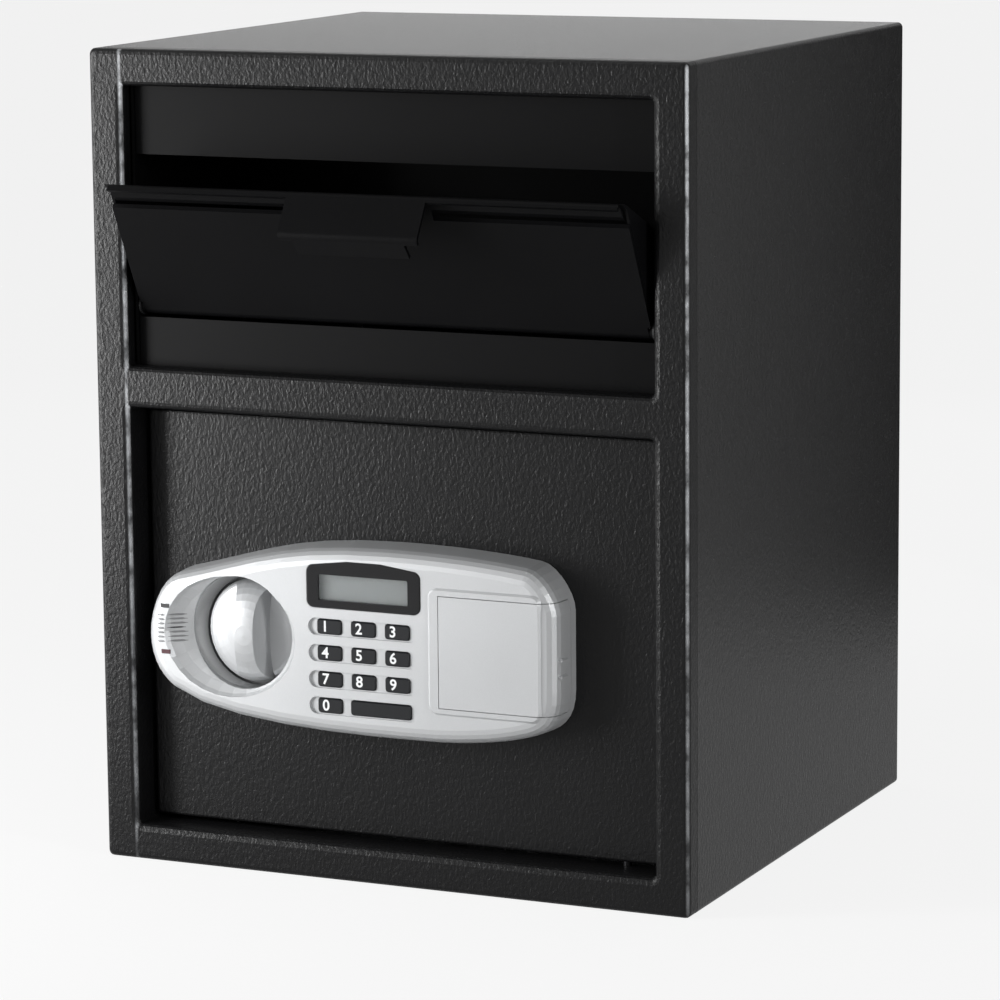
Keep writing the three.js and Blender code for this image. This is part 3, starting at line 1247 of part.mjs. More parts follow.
place("lock_housing", lockHousing(), silverPlastic, lock);
place("knob", knob(), silverPlastic, lock);
place("display_bezel", displayBezel(), blackPlastic, lock);
place("display_window", displayWindow(), clearPlastic, lock);
place("display_panel", displayPanel(), greyGlass, lock);
for (const key of keyList()) {
  place(key.name, keyCap(key), keyRubber, lock);
}
place("key_mat", keyMat(), keyRubber, lock);
place("circuit_board", circuitBoard(), boardGreen, lock);
place("battery_tray", batteryTray(), blackPlastic, lock);
for (let i = 0; i < CELL_COUNT; i += 1) {
  place(`battery_${i + 1}`, batteryCell(i), cellWrap, lock);
}
place("battery_cover", batteryCover(), silverPlastic, lock);

export default safe;
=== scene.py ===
"""Finishes, small parts and a plain studio for a drop safe with a deposit drawer."""

import math

import bmesh
import bpy
from bpy.props import FloatProperty, FloatVectorProperty, PointerProperty
from bpy.types import Operator, Panel, PropertyGroup
from mathutils import Matrix, Vector
from mathutils.bvhtree import BVHTree


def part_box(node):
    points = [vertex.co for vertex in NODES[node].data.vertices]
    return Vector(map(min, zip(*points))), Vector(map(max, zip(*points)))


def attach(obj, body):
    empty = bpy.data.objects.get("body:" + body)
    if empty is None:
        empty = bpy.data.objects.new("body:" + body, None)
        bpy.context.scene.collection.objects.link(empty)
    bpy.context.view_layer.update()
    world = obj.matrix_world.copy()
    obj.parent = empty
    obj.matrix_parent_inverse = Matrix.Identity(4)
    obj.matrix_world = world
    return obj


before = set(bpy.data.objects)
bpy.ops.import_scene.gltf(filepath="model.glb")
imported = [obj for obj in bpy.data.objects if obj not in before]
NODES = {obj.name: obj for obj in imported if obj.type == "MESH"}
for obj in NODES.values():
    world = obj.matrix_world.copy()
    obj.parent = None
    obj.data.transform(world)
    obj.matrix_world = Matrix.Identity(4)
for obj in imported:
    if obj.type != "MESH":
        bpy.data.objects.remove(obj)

bl_info = {
    "name": "Drop Safe",
    "version": (1, 0, 0),
    "blender": (4, 5, 0),
    "location": "3D View > Sidebar > Drop Safe",
    "description": "Dresses a drop safe with its coats, keypad printing and studio",
    "category": "Object",
}

DARK_COAT = (0.0048, 0.0048, 0.0052)

# Upright edges along which a pale highlight is painted into the coat, as (x, y), and how far the
# painted highlight reaches
HIGHLIGHT_EDGES = ((0.1745, -0.1645), (-0.1561, -0.1639))
HIGHLIGHT_REACH = 0.0016

# The shade in the gap round the knob: how far it reaches outward, how far in front of the knob's
# back it starts to fade, and the depth over which it fades
GAP_SHADE_REACH = 0.0085
GAP_SHADE_FRONT = 0.0070
GAP_SHADE_FADE = 0.003

# The ribs and marks left of the knob. A rib's numbers are its left end, its right end and how
# proud it stands
MARK_HEIGHT = 0.1342
RIBS_EACH_WAY = 3
OUTER_RIB = (-0.1370, -0.1318, 0.00050)
INNER_RIB = (-0.1308, -0.1216, 0.00045)
POINTER = (-0.1312, -0.1228, 0.00024)
RIB_WIDTH = 0.0011
POINTER_WIDTH = 0.0009
BAR_HEIGHTS = (0.1468, 0.1212)
BAR_LEFT, BAR_MIDDLE, BAR_RIGHT = -0.1342, -0.1314, -0.1288
BAR_HALF_HEIGHT = 0.0012
BAR_PROUD, BAR_SUNK = 0.00022, 0.0006

# The ridges on the battery cover's side: their heights on the safe and their cross-section
RIDGE_HEIGHTS = (0.1335, 0.1245)
RIDGE_HALF_HEIGHT = 0.0009
RIDGE_PROUD, RIDGE_SUNK = 0.0009, 0.002
RIDGE_FROM, RIDGE_TO = 0.006, 0.0145

# The raised digits: their height as a share of the type's size, their place across the key, how
# thick they are and how much their strokes are fattened
DIGIT_SHARE_OF_SIZE = 0.72
DIGIT_ACROSS_KEY = 0.36
DIGIT_THICKNESS = 0.00003
DIGIT_WEIGHT = 0.00017

# How white mirrors and glass see the room and the camera sees the world behind it, where 1 is
# full white, and how much of the sweep glows for the camera
MIRRORED_WHITE = 0.55
WORLD_WHITE = 0.95
STAGE_GLOW = 0.86

# The sweep behind the safe: half its width, its front and rear ends, its height and its bend
SWEEP_HALF, SWEEP_FRONT, SWEEP_REAR, SWEEP_HEIGHT, SWEEP_BEND = 6.0, -6.0, 5.0, 5.0, 1.2
BEND_STEPS = 12

# Opposite corners of the dark flag
FLAG_LOW, FLAG_HIGH = (0.21, 0.600, 0.002), (0.44, 0.604, 0.60)

# Each lamp's name, place, target, size and power
LAMPS = (
    ("left_strip", (-0.65, -0.62, 0.24), (-0.17, -0.16, 0.22), (0.20, 0.52), 6.0),
    ("left_softbox", (-1.45, -1.20, 0.60), (-0.05, -0.15, 0.2), (1.1, 1.2), 11.5),
    ("right_strip", (1.46, -0.65, 0.45), (0.1, -0.1, 0.25), (0.10, 1.1), 9.0),
    ("rear_strip", (-0.45, 1.6, 0.60), (0.0, 0.0, 0.45), (1.3, 0.3), 1.4),
    ("top_softbox", (-0.1, 0.35, 1.8), (0.0, 0.0, 0.3), (1.4, 0.9), 3.0),
)


def colour_property(name, description, default):
    """A colour that the user can change."""
    return FloatVectorProperty(
        name=name, description=description, default=default,
        size=3, min=0.0, max=1.0, subtype="COLOR",
    )


def length_property(name, description, default):
    """A length that the user can change."""
    return FloatProperty(
        name=name, description=description, default=default, min=0.0, unit="LENGTH"
    )


class CoatSettings(PropertyGroup):
    body: colour_property("Body coat", "Colour of the carcass's textured powder coat", DARK_COAT)
    door: colour_property("Door coat", "Colour of the door's textured powder coat", DARK_COAT)
    drawer: colour_property(
        "Drawer coat", "Colour of the drawer's smoother coat", (0.0034, 0.0034, 0.0038)
    )
    hopper: colour_property(
        "Hopper coat", "Colour of the plates round the drawer", (0.0028, 0.0028, 0.0031)
    )
    grain: length_property("Grain", "Width of one pebble of the front's leather-like coat", 0.0016)
    fine_grain: length_property("Fine grain", "Width of one pebble of the side's coat", 0.0014)


class LockSettings(PropertyGroup):
    silver: colour_property("Silver", "Colour of the lock unit's moulded face", (0.58, 0.59, 0.60))
    knob: colour_property("Knob", "Colour of the turning knob", (0.50, 0.51, 0.52))
    key: colour_property("Keys", "Colour of the rubber keys", (0.010, 0.011, 0.013))
    digit: colour_property("Digits", "Colour of the printed digits", (0.85, 0.86, 0.87))
    display: colour_property("Display", "Colour of the display at rest", (0.36, 0.38, 0.38))
    digit_height: length_property("Digit height", "Height of a printed digit", 0.0060)
    rib_pitch: length_property("Rib pitch", "Distance between the ribs beside the knob", 0.00246)


class StudioSettings(PropertyGroup):
    lens: FloatProperty(
        name="Lens", description="Focal length", default=156.2, min=1.0, unit="CAMERA"
    )
    azimuth: FloatProperty(
        name="Azimuth", description="Camera's turn to the right of the front",
        default=math.radians(24.51), subtype="ANGLE",
    )
    elevation: FloatProperty(
        name="Elevation", description="Camera's angle above level",
        default=math.radians(9.93), subtype="ANGLE",
    )
    roll: FloatProperty(
        name="Roll", description="Camera's tilt", default=math.radians(-0.5), subtype="ANGLE"
    )
    place: FloatVectorProperty(
        name="Camera place", description="Where the camera stands", default=(1.003, -2.216, 0.612),
        size=3, subtype="TRANSLATION",
    )
    floor: colour_property("Floor", "Colour of the floor and backdrop", (0.82, 0.82, 0.82))
    ambient: FloatProperty(
        name="Ambient", description="Strength of the light all round", default=0.16, min=0.0
    )


# Materials


class Nodes:
    """Adds shader nodes to one material and links them by socket name."""

    def __init__(self, name):
        self.material = bpy.data.materials.new(name)
        self.material.use_nodes = True
        self.tree = self.material.node_tree
        self.tree.nodes.clear()
        self.output = self.tree.nodes.new("ShaderNodeOutputMaterial")

    def add(self, kind, inputs=None, **settings):
        node = self.tree.nodes.new("ShaderNode" + kind)
        for key, value in settings.items():
            setattr(node, key, value)
        for key, value in (inputs or {}).items():
            self.put(node, key, value)
        return node

    def put(self, node, key, value):
        socket = node.inputs[key]
        if isinstance(value, bpy.types.NodeSocket):
            self.tree.links.new(value, socket)
        elif hasattr(value, "__len__") and len(value) == 3 and socket.type == "RGBA":
            socket.default_value = (*value, 1.0)
        else:
            socket.default_value = value

    def place(self):
        return self.add("TexCoord").outputs["Object"]

    def noise(self, scale, detail=3.0, vector=None, **inputs):
        node = self.add("TexNoise", {"Scale": scale, "Detail": detail, **inputs})
        self.put(node, "Vector", vector or self.place())
        return node

    def ramp(self, value, low, high, to_low=0.0, to_high=1.0):
        return self.add("MapRange", {
            "Value": value, "From Min": low, "From Max": high, "To Min": to_low, "To Max": to_high,
        }).outputs["Result"]

    def math(self, operation, *values, **settings):
        node = self.add("Math", dict(enumerate(values)), operation=operation, **settings)
        return node.outputs[0]

    def stretch(self, vector, scale):
        return self.add("VectorMath", {0: vector, 1: scale}, operation="MULTIPLY").outputs[0]

    def distance(self, vector, point):
        node = self.add("VectorMath", {0: vector, 1: point}, operation="DISTANCE")
        return node.outputs["Value"]

    def mix(self, share, low, high):
        """The first colour where the share is 0, turning to the second where it is 1."""
        return self.add("Mix", {0: share, 6: low, 7: high}, data_type="RGBA").outputs[2]

    def tint(self, colour, value, spread):
        """The colour, darker to lighter by the given share as the value goes from 0 to 1."""
        low = [c * (1 - spread) for c in colour]
        high = [min(1.0, c * (1 + spread)) for c in colour]
        return self.mix(value, low, high)

    def bump(self, height, strength, distance, normal=None):
        node = self.add("Bump", {"Height": height, "Strength": strength, "Distance": distance})
        if normal is not None:
            self.put(node, "Normal", normal)
        return node.outputs["Normal"]

    def finish(self, **inputs):
        named = {key.replace("_", " "): value for key, value in inputs.items()}
        shader = self.add("BsdfPrincipled", named)
        self.tree.links.new(shader.outputs[0], self.output.inputs["Surface"])
        return self.material


def polished(make, place, colour):
    """The colour with a painted highlight: pale grey along the upright edges, strongest near the
    top.
    """
    flat = make.stretch(place, (1.0, 1.0, 0.0))
    near = []
    for x, y in HIGHLIGHT_EDGES:
        away = make.distance(flat, (x, y, 0.0))
        near.append(make.ramp(away, HIGHLIGHT_REACH * 0.4, HIGHLIGHT_REACH, 1.0, 0.0))
    highlighted = make.math("MAXIMUM", *near)
    height = make.add("SeparateXYZ", {"Vector": place}).outputs["Z"]
    fading = make.ramp(height, 0.0, 0.42, 0.25, 1.0)
    patches = make.ramp(make.noise(90.0, 3.0, place).outputs["Fac"], 0.36, 0.60, 0.15, 1.0)
    share = make.math("MULTIPLY", make.math("MULTIPLY", highlighted, fading), patches)
    return make.mix(share, colour, (0.78, 0.80, 0.83))


def pebbled_coat(name, colour, grain, depth, roughness=0.36, gloss=0.30):
    """A powder coat wrinkled like leather: short upright folds, broken up by a finer grain."""
    make = Nodes(name)
    place = make.place()
    upright = make.stretch(place, (1.0, 1.0, 0.62))
    folds = make.noise(0.90 / grain, 1.5, upright, Roughness=0.45, Distortion=0.5)
    fine = make.noise(2.1 / grain, 2.0, place)
    relief = make.bump(folds.outputs["Fac"], 1.0, depth)
    relief = make.bump(fine.outputs["Fac"], 1.0, depth * 0.18, relief)
    clouds = make.noise(9.0, 3.0, place)
    # The base colour carries the painted highlight along the upright edges.
    return make.finish(
        Base_Color=polished(make, place, make.tint(colour, clouds.outputs["Fac"], 0.35)),
        Roughness=make.ramp(fine.outputs["Fac"], 0.3, 0.7, roughness - 0.06, roughness + 0.08),
        Specular_IOR_Level=gloss, Normal=relief,
    )


def satin_coat(name, colour, roughness=0.38, depth=0.00002, gloss=0.08):
    """A smooth satin coat with a faint leather grain."""
    make = Nodes(name)
    place = make.place()
    grain = make.noise(700.0, 3.0, place)
    clouds = make.noise(14.0, 3.0, place)
    return make.finish(
        Base_Color=make.tint(colour, clouds.outputs["Fac"], 0.3),
        Roughness=make.ramp(grain.outputs["Fac"], 0.3, 0.7, roughness - 0.05, roughness + 0.06),
        Specular_IOR_Level=gloss, Normal=make.bump(grain.outputs["Fac"], 0.6, depth),
    )


def moulded(name, colour, roughness, grain=1500.0, depth=0.000006, spread=0.03, **more):
    """Moulded plastic with the faint texture of its tool."""
    make = Nodes(name)
    place = make.place()
    skin = make.noise(grain, 2.0, place)
    flow = make.noise(22.0, 2.0, place)
    return make.finish(
        Base_Color=make.tint(colour, flow.outputs["Fac"], spread),
        Roughness=make.ramp(flow.outputs["Fac"], 0.3, 0.7, roughness - 0.03, roughness + 0.03),
        Normal=make.bump(skin.outputs["Fac"], 0.5, depth),
        **more,
    )


def silver_paint(name, colour, roughness, gap=None):
    """Silver lacquer with a fine flake, with painted shade that turns it black towards the knob's
    gap if one is given.

    The gap is (x, z, radius, depth): the knob's axis and radius, and how deep its shade starts.
    """
    make = Nodes(name)
    place = make.place()
    flake = make.noise(2600.0, 1.0, place)
    flow = make.noise(22.0, 2.0, place)
    base = make.tint(colour, flake.outputs["Fac"], 0.05)
    if gap:
        x, z, radius, depth = gap
        away = make.distance(make.stretch(place, (1.0, 0.0, 1.0)), (x, 0.0, z))
        lit = make.ramp(away, radius, radius + GAP_SHADE_REACH)
        inward = make.add("SeparateXYZ", {"Vector": place}).outputs["Y"]
        above = make.ramp(inward, depth, depth - GAP_SHADE_FADE)
        open_to_light = make.math("POWER", make.math("MAXIMUM", lit, above), 0.8)
        base = make.mix(open_to_light, (0.006, 0.006, 0.007), base)
    return make.finish(
        Base_Color=base, Metallic=0.40,
        Roughness=make.ramp(flow.outputs["Fac"], 0.3, 0.7, roughness - 0.03, roughness + 0.03),
        Normal=make.bump(flake.outputs["Fac"], 0.5, 0.000006), Coat_Weight=0.05,
    )


def steel(name, colour, roughness, lines=0.0, along=(1.0, 1.0, 1.0)):
    """Bare or plated steel, drawn along one axis if it has lines."""
    make = Nodes(name)
    place = make.place()
    drawn = make.noise(900.0, 3.0, make.stretch(place, along))
    stain = make.noise(30.0, 4.0, place)
    return make.finish(
        Base_Color=make.tint(colour, stain.outputs["Fac"], 0.08),
        Metallic=1.0,
        Roughness=make.ramp(stain.outputs["Fac"], 0.3, 0.75, roughness - 0.05, roughness + 0.1),
        Normal=make.bump(drawn.outputs["Fac"], 0.3 + lines, 0.00001),
    )


def felt(name, colour):
    """Pressed felt: short fibres over soft tufts."""
    make = Nodes(name)
    place = make.place()
    fibres = make.noise(1600.0, 5.0, place)
    tufts = make.noise(240.0, 3.0, place)
    relief = make.bump(fibres.outputs["Fac"], 0.6, 0.0002)
    return make.finish(
        Base_Color=make.tint(colour, fibres.outputs["Fac"], 0.5),
        Roughness=0.95, Sheen_Weight=0.3, Sheen_Roughness=0.5,
        Normal=make.bump(tufts.outputs["Fac"], 0.8, 0.0004, relief),
    )


def circuit_green(name):
    """A printed board: tracks under a green lacquer."""
    make = Nodes(name)
    place = make.place()
    tracks = make.add("TexBrick", {
        "Vector": place, "Scale": 320.0,
        "Mortar Size": 0.16, "Brick Width": 0.9, "Row Height": 0.35,
        "Color1": (0.020, 0.115, 0.050), "Color2": (0.026, 0.135, 0.058),
        "Mortar": (0.05, 0.24, 0.10),
    })
    return make.finish(
        Base_Color=tracks.outputs["Color"], Roughness=0.35,
        Normal=make.bump(tracks.outputs["Fac"], 0.4, 0.00005),
    )


def clear_window(name):
    """Clear plastic with a trace of haze."""
    make = Nodes(name)
    haze = make.noise(40.0, 2.0)
    return make.finish(
        Base_Color=make.tint((0.92, 0.93, 0.93), haze.outputs["Fac"], 0.02),
        Roughness=make.ramp(haze.outputs["Fac"], 0.3, 0.7, 0.03, 0.06),
        IOR=1.49, Transmission_Weight=1.0,
    )


def cell_sleeve(name):
    """A dry cell's printed sleeve: two plain bands, bare of words."""
    make = Nodes(name)
    split = make.add("SeparateXYZ", {"Vector": make.place()})
    band = make.ramp(split.outputs["Z"], 0.1440, 0.1444)
    speck = make.noise(200.0, 2.0)
    return make.finish(
        Base_Color=make.mix(band, (0.035, 0.037, 0.040), (0.45, 0.33, 0.12)), Metallic=0.4,
        Roughness=make.ramp(speck.outputs["Fac"], 0.3, 0.7, 0.28, 0.38),
    )


def paint(material, *names, even=True):
    """Gives CAD nodes a material, and smooth faces up to their true edges."""
    for name in names:
        node = NODES[name]
        node.data.materials.clear()
        node.data.materials.append(material)
        node.data.polygons.foreach_set("use_smooth", [True] * len(node.data.polygons))
        node.data.set_sharp_from_angle(angle=math.radians(32))
        if even:
            node.modifiers.new("even_normals", "WEIGHTED_NORMAL").keep_sharp = True


# Small parts


class Surface:
    """Finds the front of a CAD node under a point of the front view."""

    def __init__(self, name):
        mesh = NODES[name].data
        corners = [vertex.co for vertex in mesh.vertices]
        self.tree = BVHTree.FromPolygons(corners, [tuple(face.vertices) for face in mesh.polygons])

    def front(self, x, z):
        """The point and normal of the surface there."""
        hit, normal, _, _ = self.tree.ray_cast(Vector((x, -1.0, z)), Vector((0, 1, 0)))
        return hit, normal


def raised_line(bm, surface, start, end, width, height):
    """A half-round rib that follows the surface from one point of the front view to the other."""
    steps, sides, sunk = 10, 5, 0.00003
    along = (Vector((end[0], 0, end[1])) - Vector((start[0], 0, start[1]))).normalized()
    rings = []
    for k in range(steps + 1):
        share = k / steps
        x = start[0] + (end[0] - start[0]) * share
        z = start[1] + (end[1] - start[1]) * share
        hit, normal = surface.front(x, z)
        across = normal.cross(along).normalized()
        swell = min(1.0, 4 * share, 4 * (1 - share)) if 0 < k < steps else 0.3
        ring = []
        for side in range(sides + 1):
            turn = math.pi * side / sides
            sideways = across * math.cos(turn) * width / 2 * swell
            out = math.sin(turn) * height * swell - sunk
            ring.append(bm.verts.new(hit + sideways + normal * out))
        rings.append(ring)
    for low, high in zip(rings, rings[1:]):
        for side in range(sides):
            bm.faces.new((low[side], low[side + 1], high[side + 1], high[side]))
    for ring in (rings[0], rings[-1]):
        bm.faces.new(ring)


def add_box(bm, low, high):
    """A box between two corners, for an operator that rounds its edges afterwards."""
    for vertex in bmesh.ops.create_cube(bm, size=1.0)["verts"]:
        vertex.co = Vector(
            (low[axis] + high[axis]) / 2 + vertex.co[axis] * (high[axis] - low[axis])
            for axis in range(3)
        )


def new_piece(name, bm, material, body):
    """Makes a smooth piece that rides on a body."""
    mesh = bpy.data.meshes.new(name)
    bm.normal_update()
    bm.to_mesh(mesh)
    bm.free()
    mesh.materials.append(material)
    mesh.polygons.foreach_set("use_smooth", [True] * len(mesh.polygons))
    mesh.set_sharp_from_angle(angle=math.radians(35))
    piece = bpy.data.objects.new(name, mesh)
    bpy.context.scene.collection.objects.link(piece)
    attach(piece, body)


class DressOperator(Operator):
    """Base of the operators here."""

    bl_options = {"REGISTER", "UNDO"}


class SAFE_OT_camera(DressOperator):
    """Set the camera to the front three-quarter view"""

    bl_idname = "safe.camera"
    bl_label = "Camera"

    def execute(self, context):
        studio = context.scene.safe_studio
        a, e, r = studio.azimuth, studio.elevation, studio.roll
        back = Vector((math.sin(a) * math.cos(e), -math.cos(a) * math.cos(e), math.sin(e)))
        right = Vector((0, 0, 1)).cross(back).normalized()
        up = back.cross(right)
        rolled = right * math.cos(r) + up * math.sin(r)
        upright = up * math.cos(r) - right * math.sin(r)
        data = bpy.data.cameras.new("camera")
        data.sensor_width = 36.0
        data.lens = studio.lens
        data.clip_start, data.clip_end = 0.05, 50.0
        camera = bpy.data.objects.new("camera", data)
        turn = Matrix((rolled, upright, back)).transposed()
        camera.matrix_world = Matrix.Translation(studio.place) @ turn.to_4x4()
        context.scene.collection.objects.link(camera)
        context.scene.camera = camera
        return {"FINISHED"}


def area_light(name, place, target, size, power):
    """A white soft lamp that shines from its place to its target, unseen by the camera."""
    data = bpy.data.lights.new(name, "AREA")
    data.shape = "RECTANGLE"
    data.size, data.size_y = size
    data.energy = power
    lamp = bpy.data.objects.new(name, data)
    lamp.location = place
    lamp.rotation_euler = (Vector(target) - Vector(place)).to_track_quat("-Z", "Y").to_euler()
    lamp.visible_camera = False
    bpy.context.scene.collection.objects.link(lamp)


def stage_material(colour):
    """A pale surface, white to the camera and greyer in mirrors, that keeps its shadows."""
    make = Nodes("stage_paper")
    speck = make.noise(60.0, 2.0)
    diffuse = make.add("BsdfDiffuse", {"Color": make.tint(colour, speck.outputs["Fac"], 0.01)})
    path = make.add("LightPath")
    mirrored = make.math("ADD", path.outputs["Is Glossy Ray"], path.outputs["Is Transmission Ray"])
    dimmed = make.math("MULTIPLY", mirrored, MIRRORED_WHITE)
    seen = make.math("ADD", path.outputs["Is Camera Ray"], dimmed, use_clamp=True)
    glow = make.add("Emission", {"Color": (1.0, 1.0, 1.0), "Strength": seen})
    share = make.ramp(seen, 0.0, 0.3, 0.0, STAGE_GLOW)
    mix = make.add("MixShader", {0: share, 1: diffuse.outputs[0], 2: glow.outputs[0]})
    make.tree.links.new(mix.outputs[0], make.output.inputs["Surface"])
    return make.material


def studio_object(name, bm, material):
    """Makes an object of one material for the studio."""
    mesh = bpy.data.meshes.new(name)
    bm.to_mesh(mesh)
    bm.free()
    mesh.materials.append(material)
    item = bpy.data.objects.new(name, mesh)
    bpy.context.scene.collection.objects.link(item)
    return item


def black_flag():
    """A studio flag behind the safe, seen in the rear of its side but not by the camera."""
    bm = bmesh.new()
    add_box(bm, FLAG_LOW, FLAG_HIGH)
    black = moulded("flag_black", (0.010, 0.010, 0.010), 0.9, Specular_IOR_Level=0.1)
    flag = studio_object("black_flag", bm, black)
    flag.visible_camera = False


def lay_sweep(floor):
    """The floor, which bends up into a backdrop behind the safe."""
    profile = [(SWEEP_FRONT, 0.0), (SWEEP_REAR - SWEEP_BEND, 0.0)]
    for k in range(1, BEND_STEPS + 1):
        turn = math.pi / 2 * k / BEND_STEPS
        rear = SWEEP_REAR - SWEEP_BEND + SWEEP_BEND * math.sin(turn)
        profile.append((rear, SWEEP_BEND * (1 - math.cos(turn))))
    profile.append((SWEEP_REAR, SWEEP_HEIGHT))
    bm = bmesh.new()
    rows = [[bm.verts.new((x, y, z)) for x in (-SWEEP_HALF, SWEEP_HALF)] for y, z in profile]
    for low, high in zip(rows, rows[1:]):
        bm.faces.new((low[0], low[1], high[1], high[0]))
    sweep = studio_object("sweep", bm, stage_material(floor))
    sweep.data.polygons.foreach_set("use_smooth", [True] * len(sweep.data.polygons))


def light_world(tree, ambient):
    """An even world, dim as a light, white to the camera and pale in mirrors and glass."""
    path = tree.nodes.new("ShaderNodeLightPath")
    mirrored = tree.nodes.new("ShaderNodeMath")
    seen = tree.nodes.new("ShaderNodeMath")
    strength = tree.nodes.new("ShaderNodeMapRange")
    seen.operation = "MULTIPLY_ADD"
    seen.inputs[1].default_value = MIRRORED_WHITE
    strength.inputs["To Min"].default_value = ambient
    strength.inputs["To Max"].default_value = WORLD_WHITE
    tree.links.new(path.outputs["Is Glossy Ray"], mirrored.inputs[0])
    tree.links.new(path.outputs["Is Transmission Ray"], mirrored.inputs[1])
    tree.links.new(mirrored.outputs[0], seen.inputs[0])
    tree.links.new(path.outputs["Is Camera Ray"], seen.inputs[2])
    tree.links.new(seen.outputs[0], strength.inputs["Value"])
    background = tree.nodes["Background"]
    background.inputs["Color"].default_value = (1.0, 1.0, 1.0, 1.0)
    tree.links.new(strength.outputs["Result"], background.inputs["Strength"])


class SAFE_OT_stage(DressOperator):
    """Set up the floor, backdrop and soft lights"""

    bl_idname = "safe.stage"
    bl_label = "Stage"

    def execute(self, context):
        scene = context.scene
        studio = scene.safe_studio
        lay_sweep(studio.floor)
        black_flag()
        for lamp in LAMPS:
            area_light(*lamp)
        world = bpy.data.worlds.new("studio")
        world.use_nodes = True
        light_world(world.node_tree, studio.ambient)
        scene.world = world
        scene.view_settings.view_transform = "Standard"
        return {"FINISHED"}


class SAFE_OT_carcass(DressOperator):
    """Coat the carcass, its front and its back"""

    bl_idname = "safe.carcass"
    bl_label = "Carcass"

    def execute(self, context):
        coats = context.scene.safe_coats
        front = pebbled_coat("front_coat", coats.body, coats.grain, 0.00032, gloss=0.26)
        body = pebbled_coat(
            "body_coat", coats.body, coats.fine_grain, 0.00030, roughness=0.32, gloss=0.42
        )
        paint(front, "front_frame")
        paint(body, "body_wrap", "back_panel")
        paint(felt("floor_felt", (0.030, 0.031, 0.034)), "floor_mat")
        return {"FINISHED"}


class SAFE_OT_hopper(DressOperator):
    """Coat the plates round the drawer and finish its bushes"""

    bl_idname = "safe.hopper"
    bl_label = "Hopper"

    def execute(self, context):
        coats = context.scene.safe_coats
        coat = satin_coat("hopper_coat", coats.hopper, 0.45)
        paint(coat, "hopper_side_left", "hopper_side_right", "upper_fascia", "sill_plate",
              "hopper_shelf", "fishing_baffle")
        nylon = moulded("bush_nylon", (0.013, 0.013, 0.014), 0.5)
        paint(nylon, "drawer_bush_left", "drawer_bush_right")
        return {"FINISHED"}


class SAFE_OT_drawer(DressOperator):
    """Coat the deposit drawer"""

    bl_idname = "safe.drawer"
    bl_label = "Drawer"

    def execute(self, context):
        coats = context.scene.safe_coats
        paint(satin_coat("drawer_coat", coats.drawer, 0.36), "drawer_panel", "drawer_cheek_left",
              "drawer_cheek_right", "drawer_tray")
        paint(steel("rod_steel", (0.55, 0.55, 0.56), 0.3, 0.3, (0.05, 1.0, 1.0)), "drawer_rod")
        return {"FINISHED"}


class SAFE_OT_door(DressOperator):
    """Coat the door and its bolt box"""

    bl_idname = "safe.door"
    bl_label = "Door"

    def execute(self, context):
        coats = context.scene.safe_coats
        paint(pebbled_coat("door_coat", coats.door, coats.grain, 0.00028, gloss=0.26), "door_plate")
        paint(satin_coat("bolt_box_coat", coats.door, 0.45), "bolt_box_cover")
        zinc = steel("zinc_plate", (0.60, 0.60, 0.58), 0.38, 0.2)
        paint(zinc, "hinge_bracket_top", "hinge_bracket_bottom", "bolt_guide", "bolt_carriage")
        oxide = steel("pin_black_oxide", (0.035, 0.035, 0.037), 0.35)
        paint(oxide, "door_pin_top", "door_pin_bottom")
        paint(steel("pin_steel", (0.58, 0.58, 0.59), 0.25), "knob_spindle", "solenoid_plunger")
        paint(steel("bolt_chrome", (0.80, 0.80, 0.81), 0.12), "bolt_lower", "bolt_upper")
        paint(moulded("solenoid_can", (0.020, 0.020, 0.022), 0.4), "solenoid_body")
        return {"FINISHED"}


def face_marks(lock):
    """The ribs and marks on the left of the bowl, which show where the knob points."""
    surface = Surface("lock_housing")

    def line(bm, place, height, width):
        left, right, proud = place
        raised_line(bm, surface, (left, height), (right, height), width, proud)

    ribs = bmesh.new()
    for k in range(-RIBS_EACH_WAY, RIBS_EACH_WAY + 1):
        height = MARK_HEIGHT + k * lock.rib_pitch
        line(ribs, OUTER_RIB, height, RIB_WIDTH)
        if k != 0:
            line(ribs, INNER_RIB, height, RIB_WIDTH)
    # The ribs take a darker copy of the silver, which is painted shade standing in for the shadows
    # between them.
    shaded = silver_paint("rib_silver_shaded", [part * 0.45 for part in lock.silver], 0.5)
    new_piece("rib_marks", ribs, shaded, "door")

    dark = moulded("mark_black", (0.035, 0.035, 0.037), 0.5)
    maroon = moulded("mark_maroon", (0.075, 0.022, 0.028), 0.5)
    pointer = bmesh.new()
    line(pointer, POINTER, MARK_HEIGHT, POINTER_WIDTH)
    new_piece("middle_mark", pointer, dark, "door")
    for name, height, ink in zip(("upper_mark", "lower_mark"), BAR_HEIGHTS, (dark, maroon)):
        bar = bmesh.new()
        hit, _ = surface.front(BAR_MIDDLE, height)
        add_box(
            bar,
            (BAR_LEFT, hit.y - BAR_PROUD, height - BAR_HALF_HEIGHT),
            (BAR_RIGHT, hit.y + BAR_SUNK, height + BAR_HALF_HEIGHT),
        )
        bmesh.ops.bevel(bar, geom=bar.edges, offset=0.00012, segments=2, affect="EDGES")
        new_piece(name, bar, ink, "door")


def cover_ridges(silver):
    """Two ridges on the side of the battery cover, which give it grip as it slides off."""
    low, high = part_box("battery_cover")
    ridges = bmesh.new()
    for height in RIDGE_HEIGHTS:
        add_box(
            ridges,
            (high.x - RIDGE_SUNK, low.y + RIDGE_FROM, height - RIDGE_HALF_HEIGHT),
            (high.x + RIDGE_PROUD, low.y + RIDGE_TO, height + RIDGE_HALF_HEIGHT),
        )
    bmesh.ops.bevel(ridges, geom=ridges.edges, offset=0.0007, segments=3, affect="EDGES")
    new_piece("cover_ridges", ridges, silver, "cover")


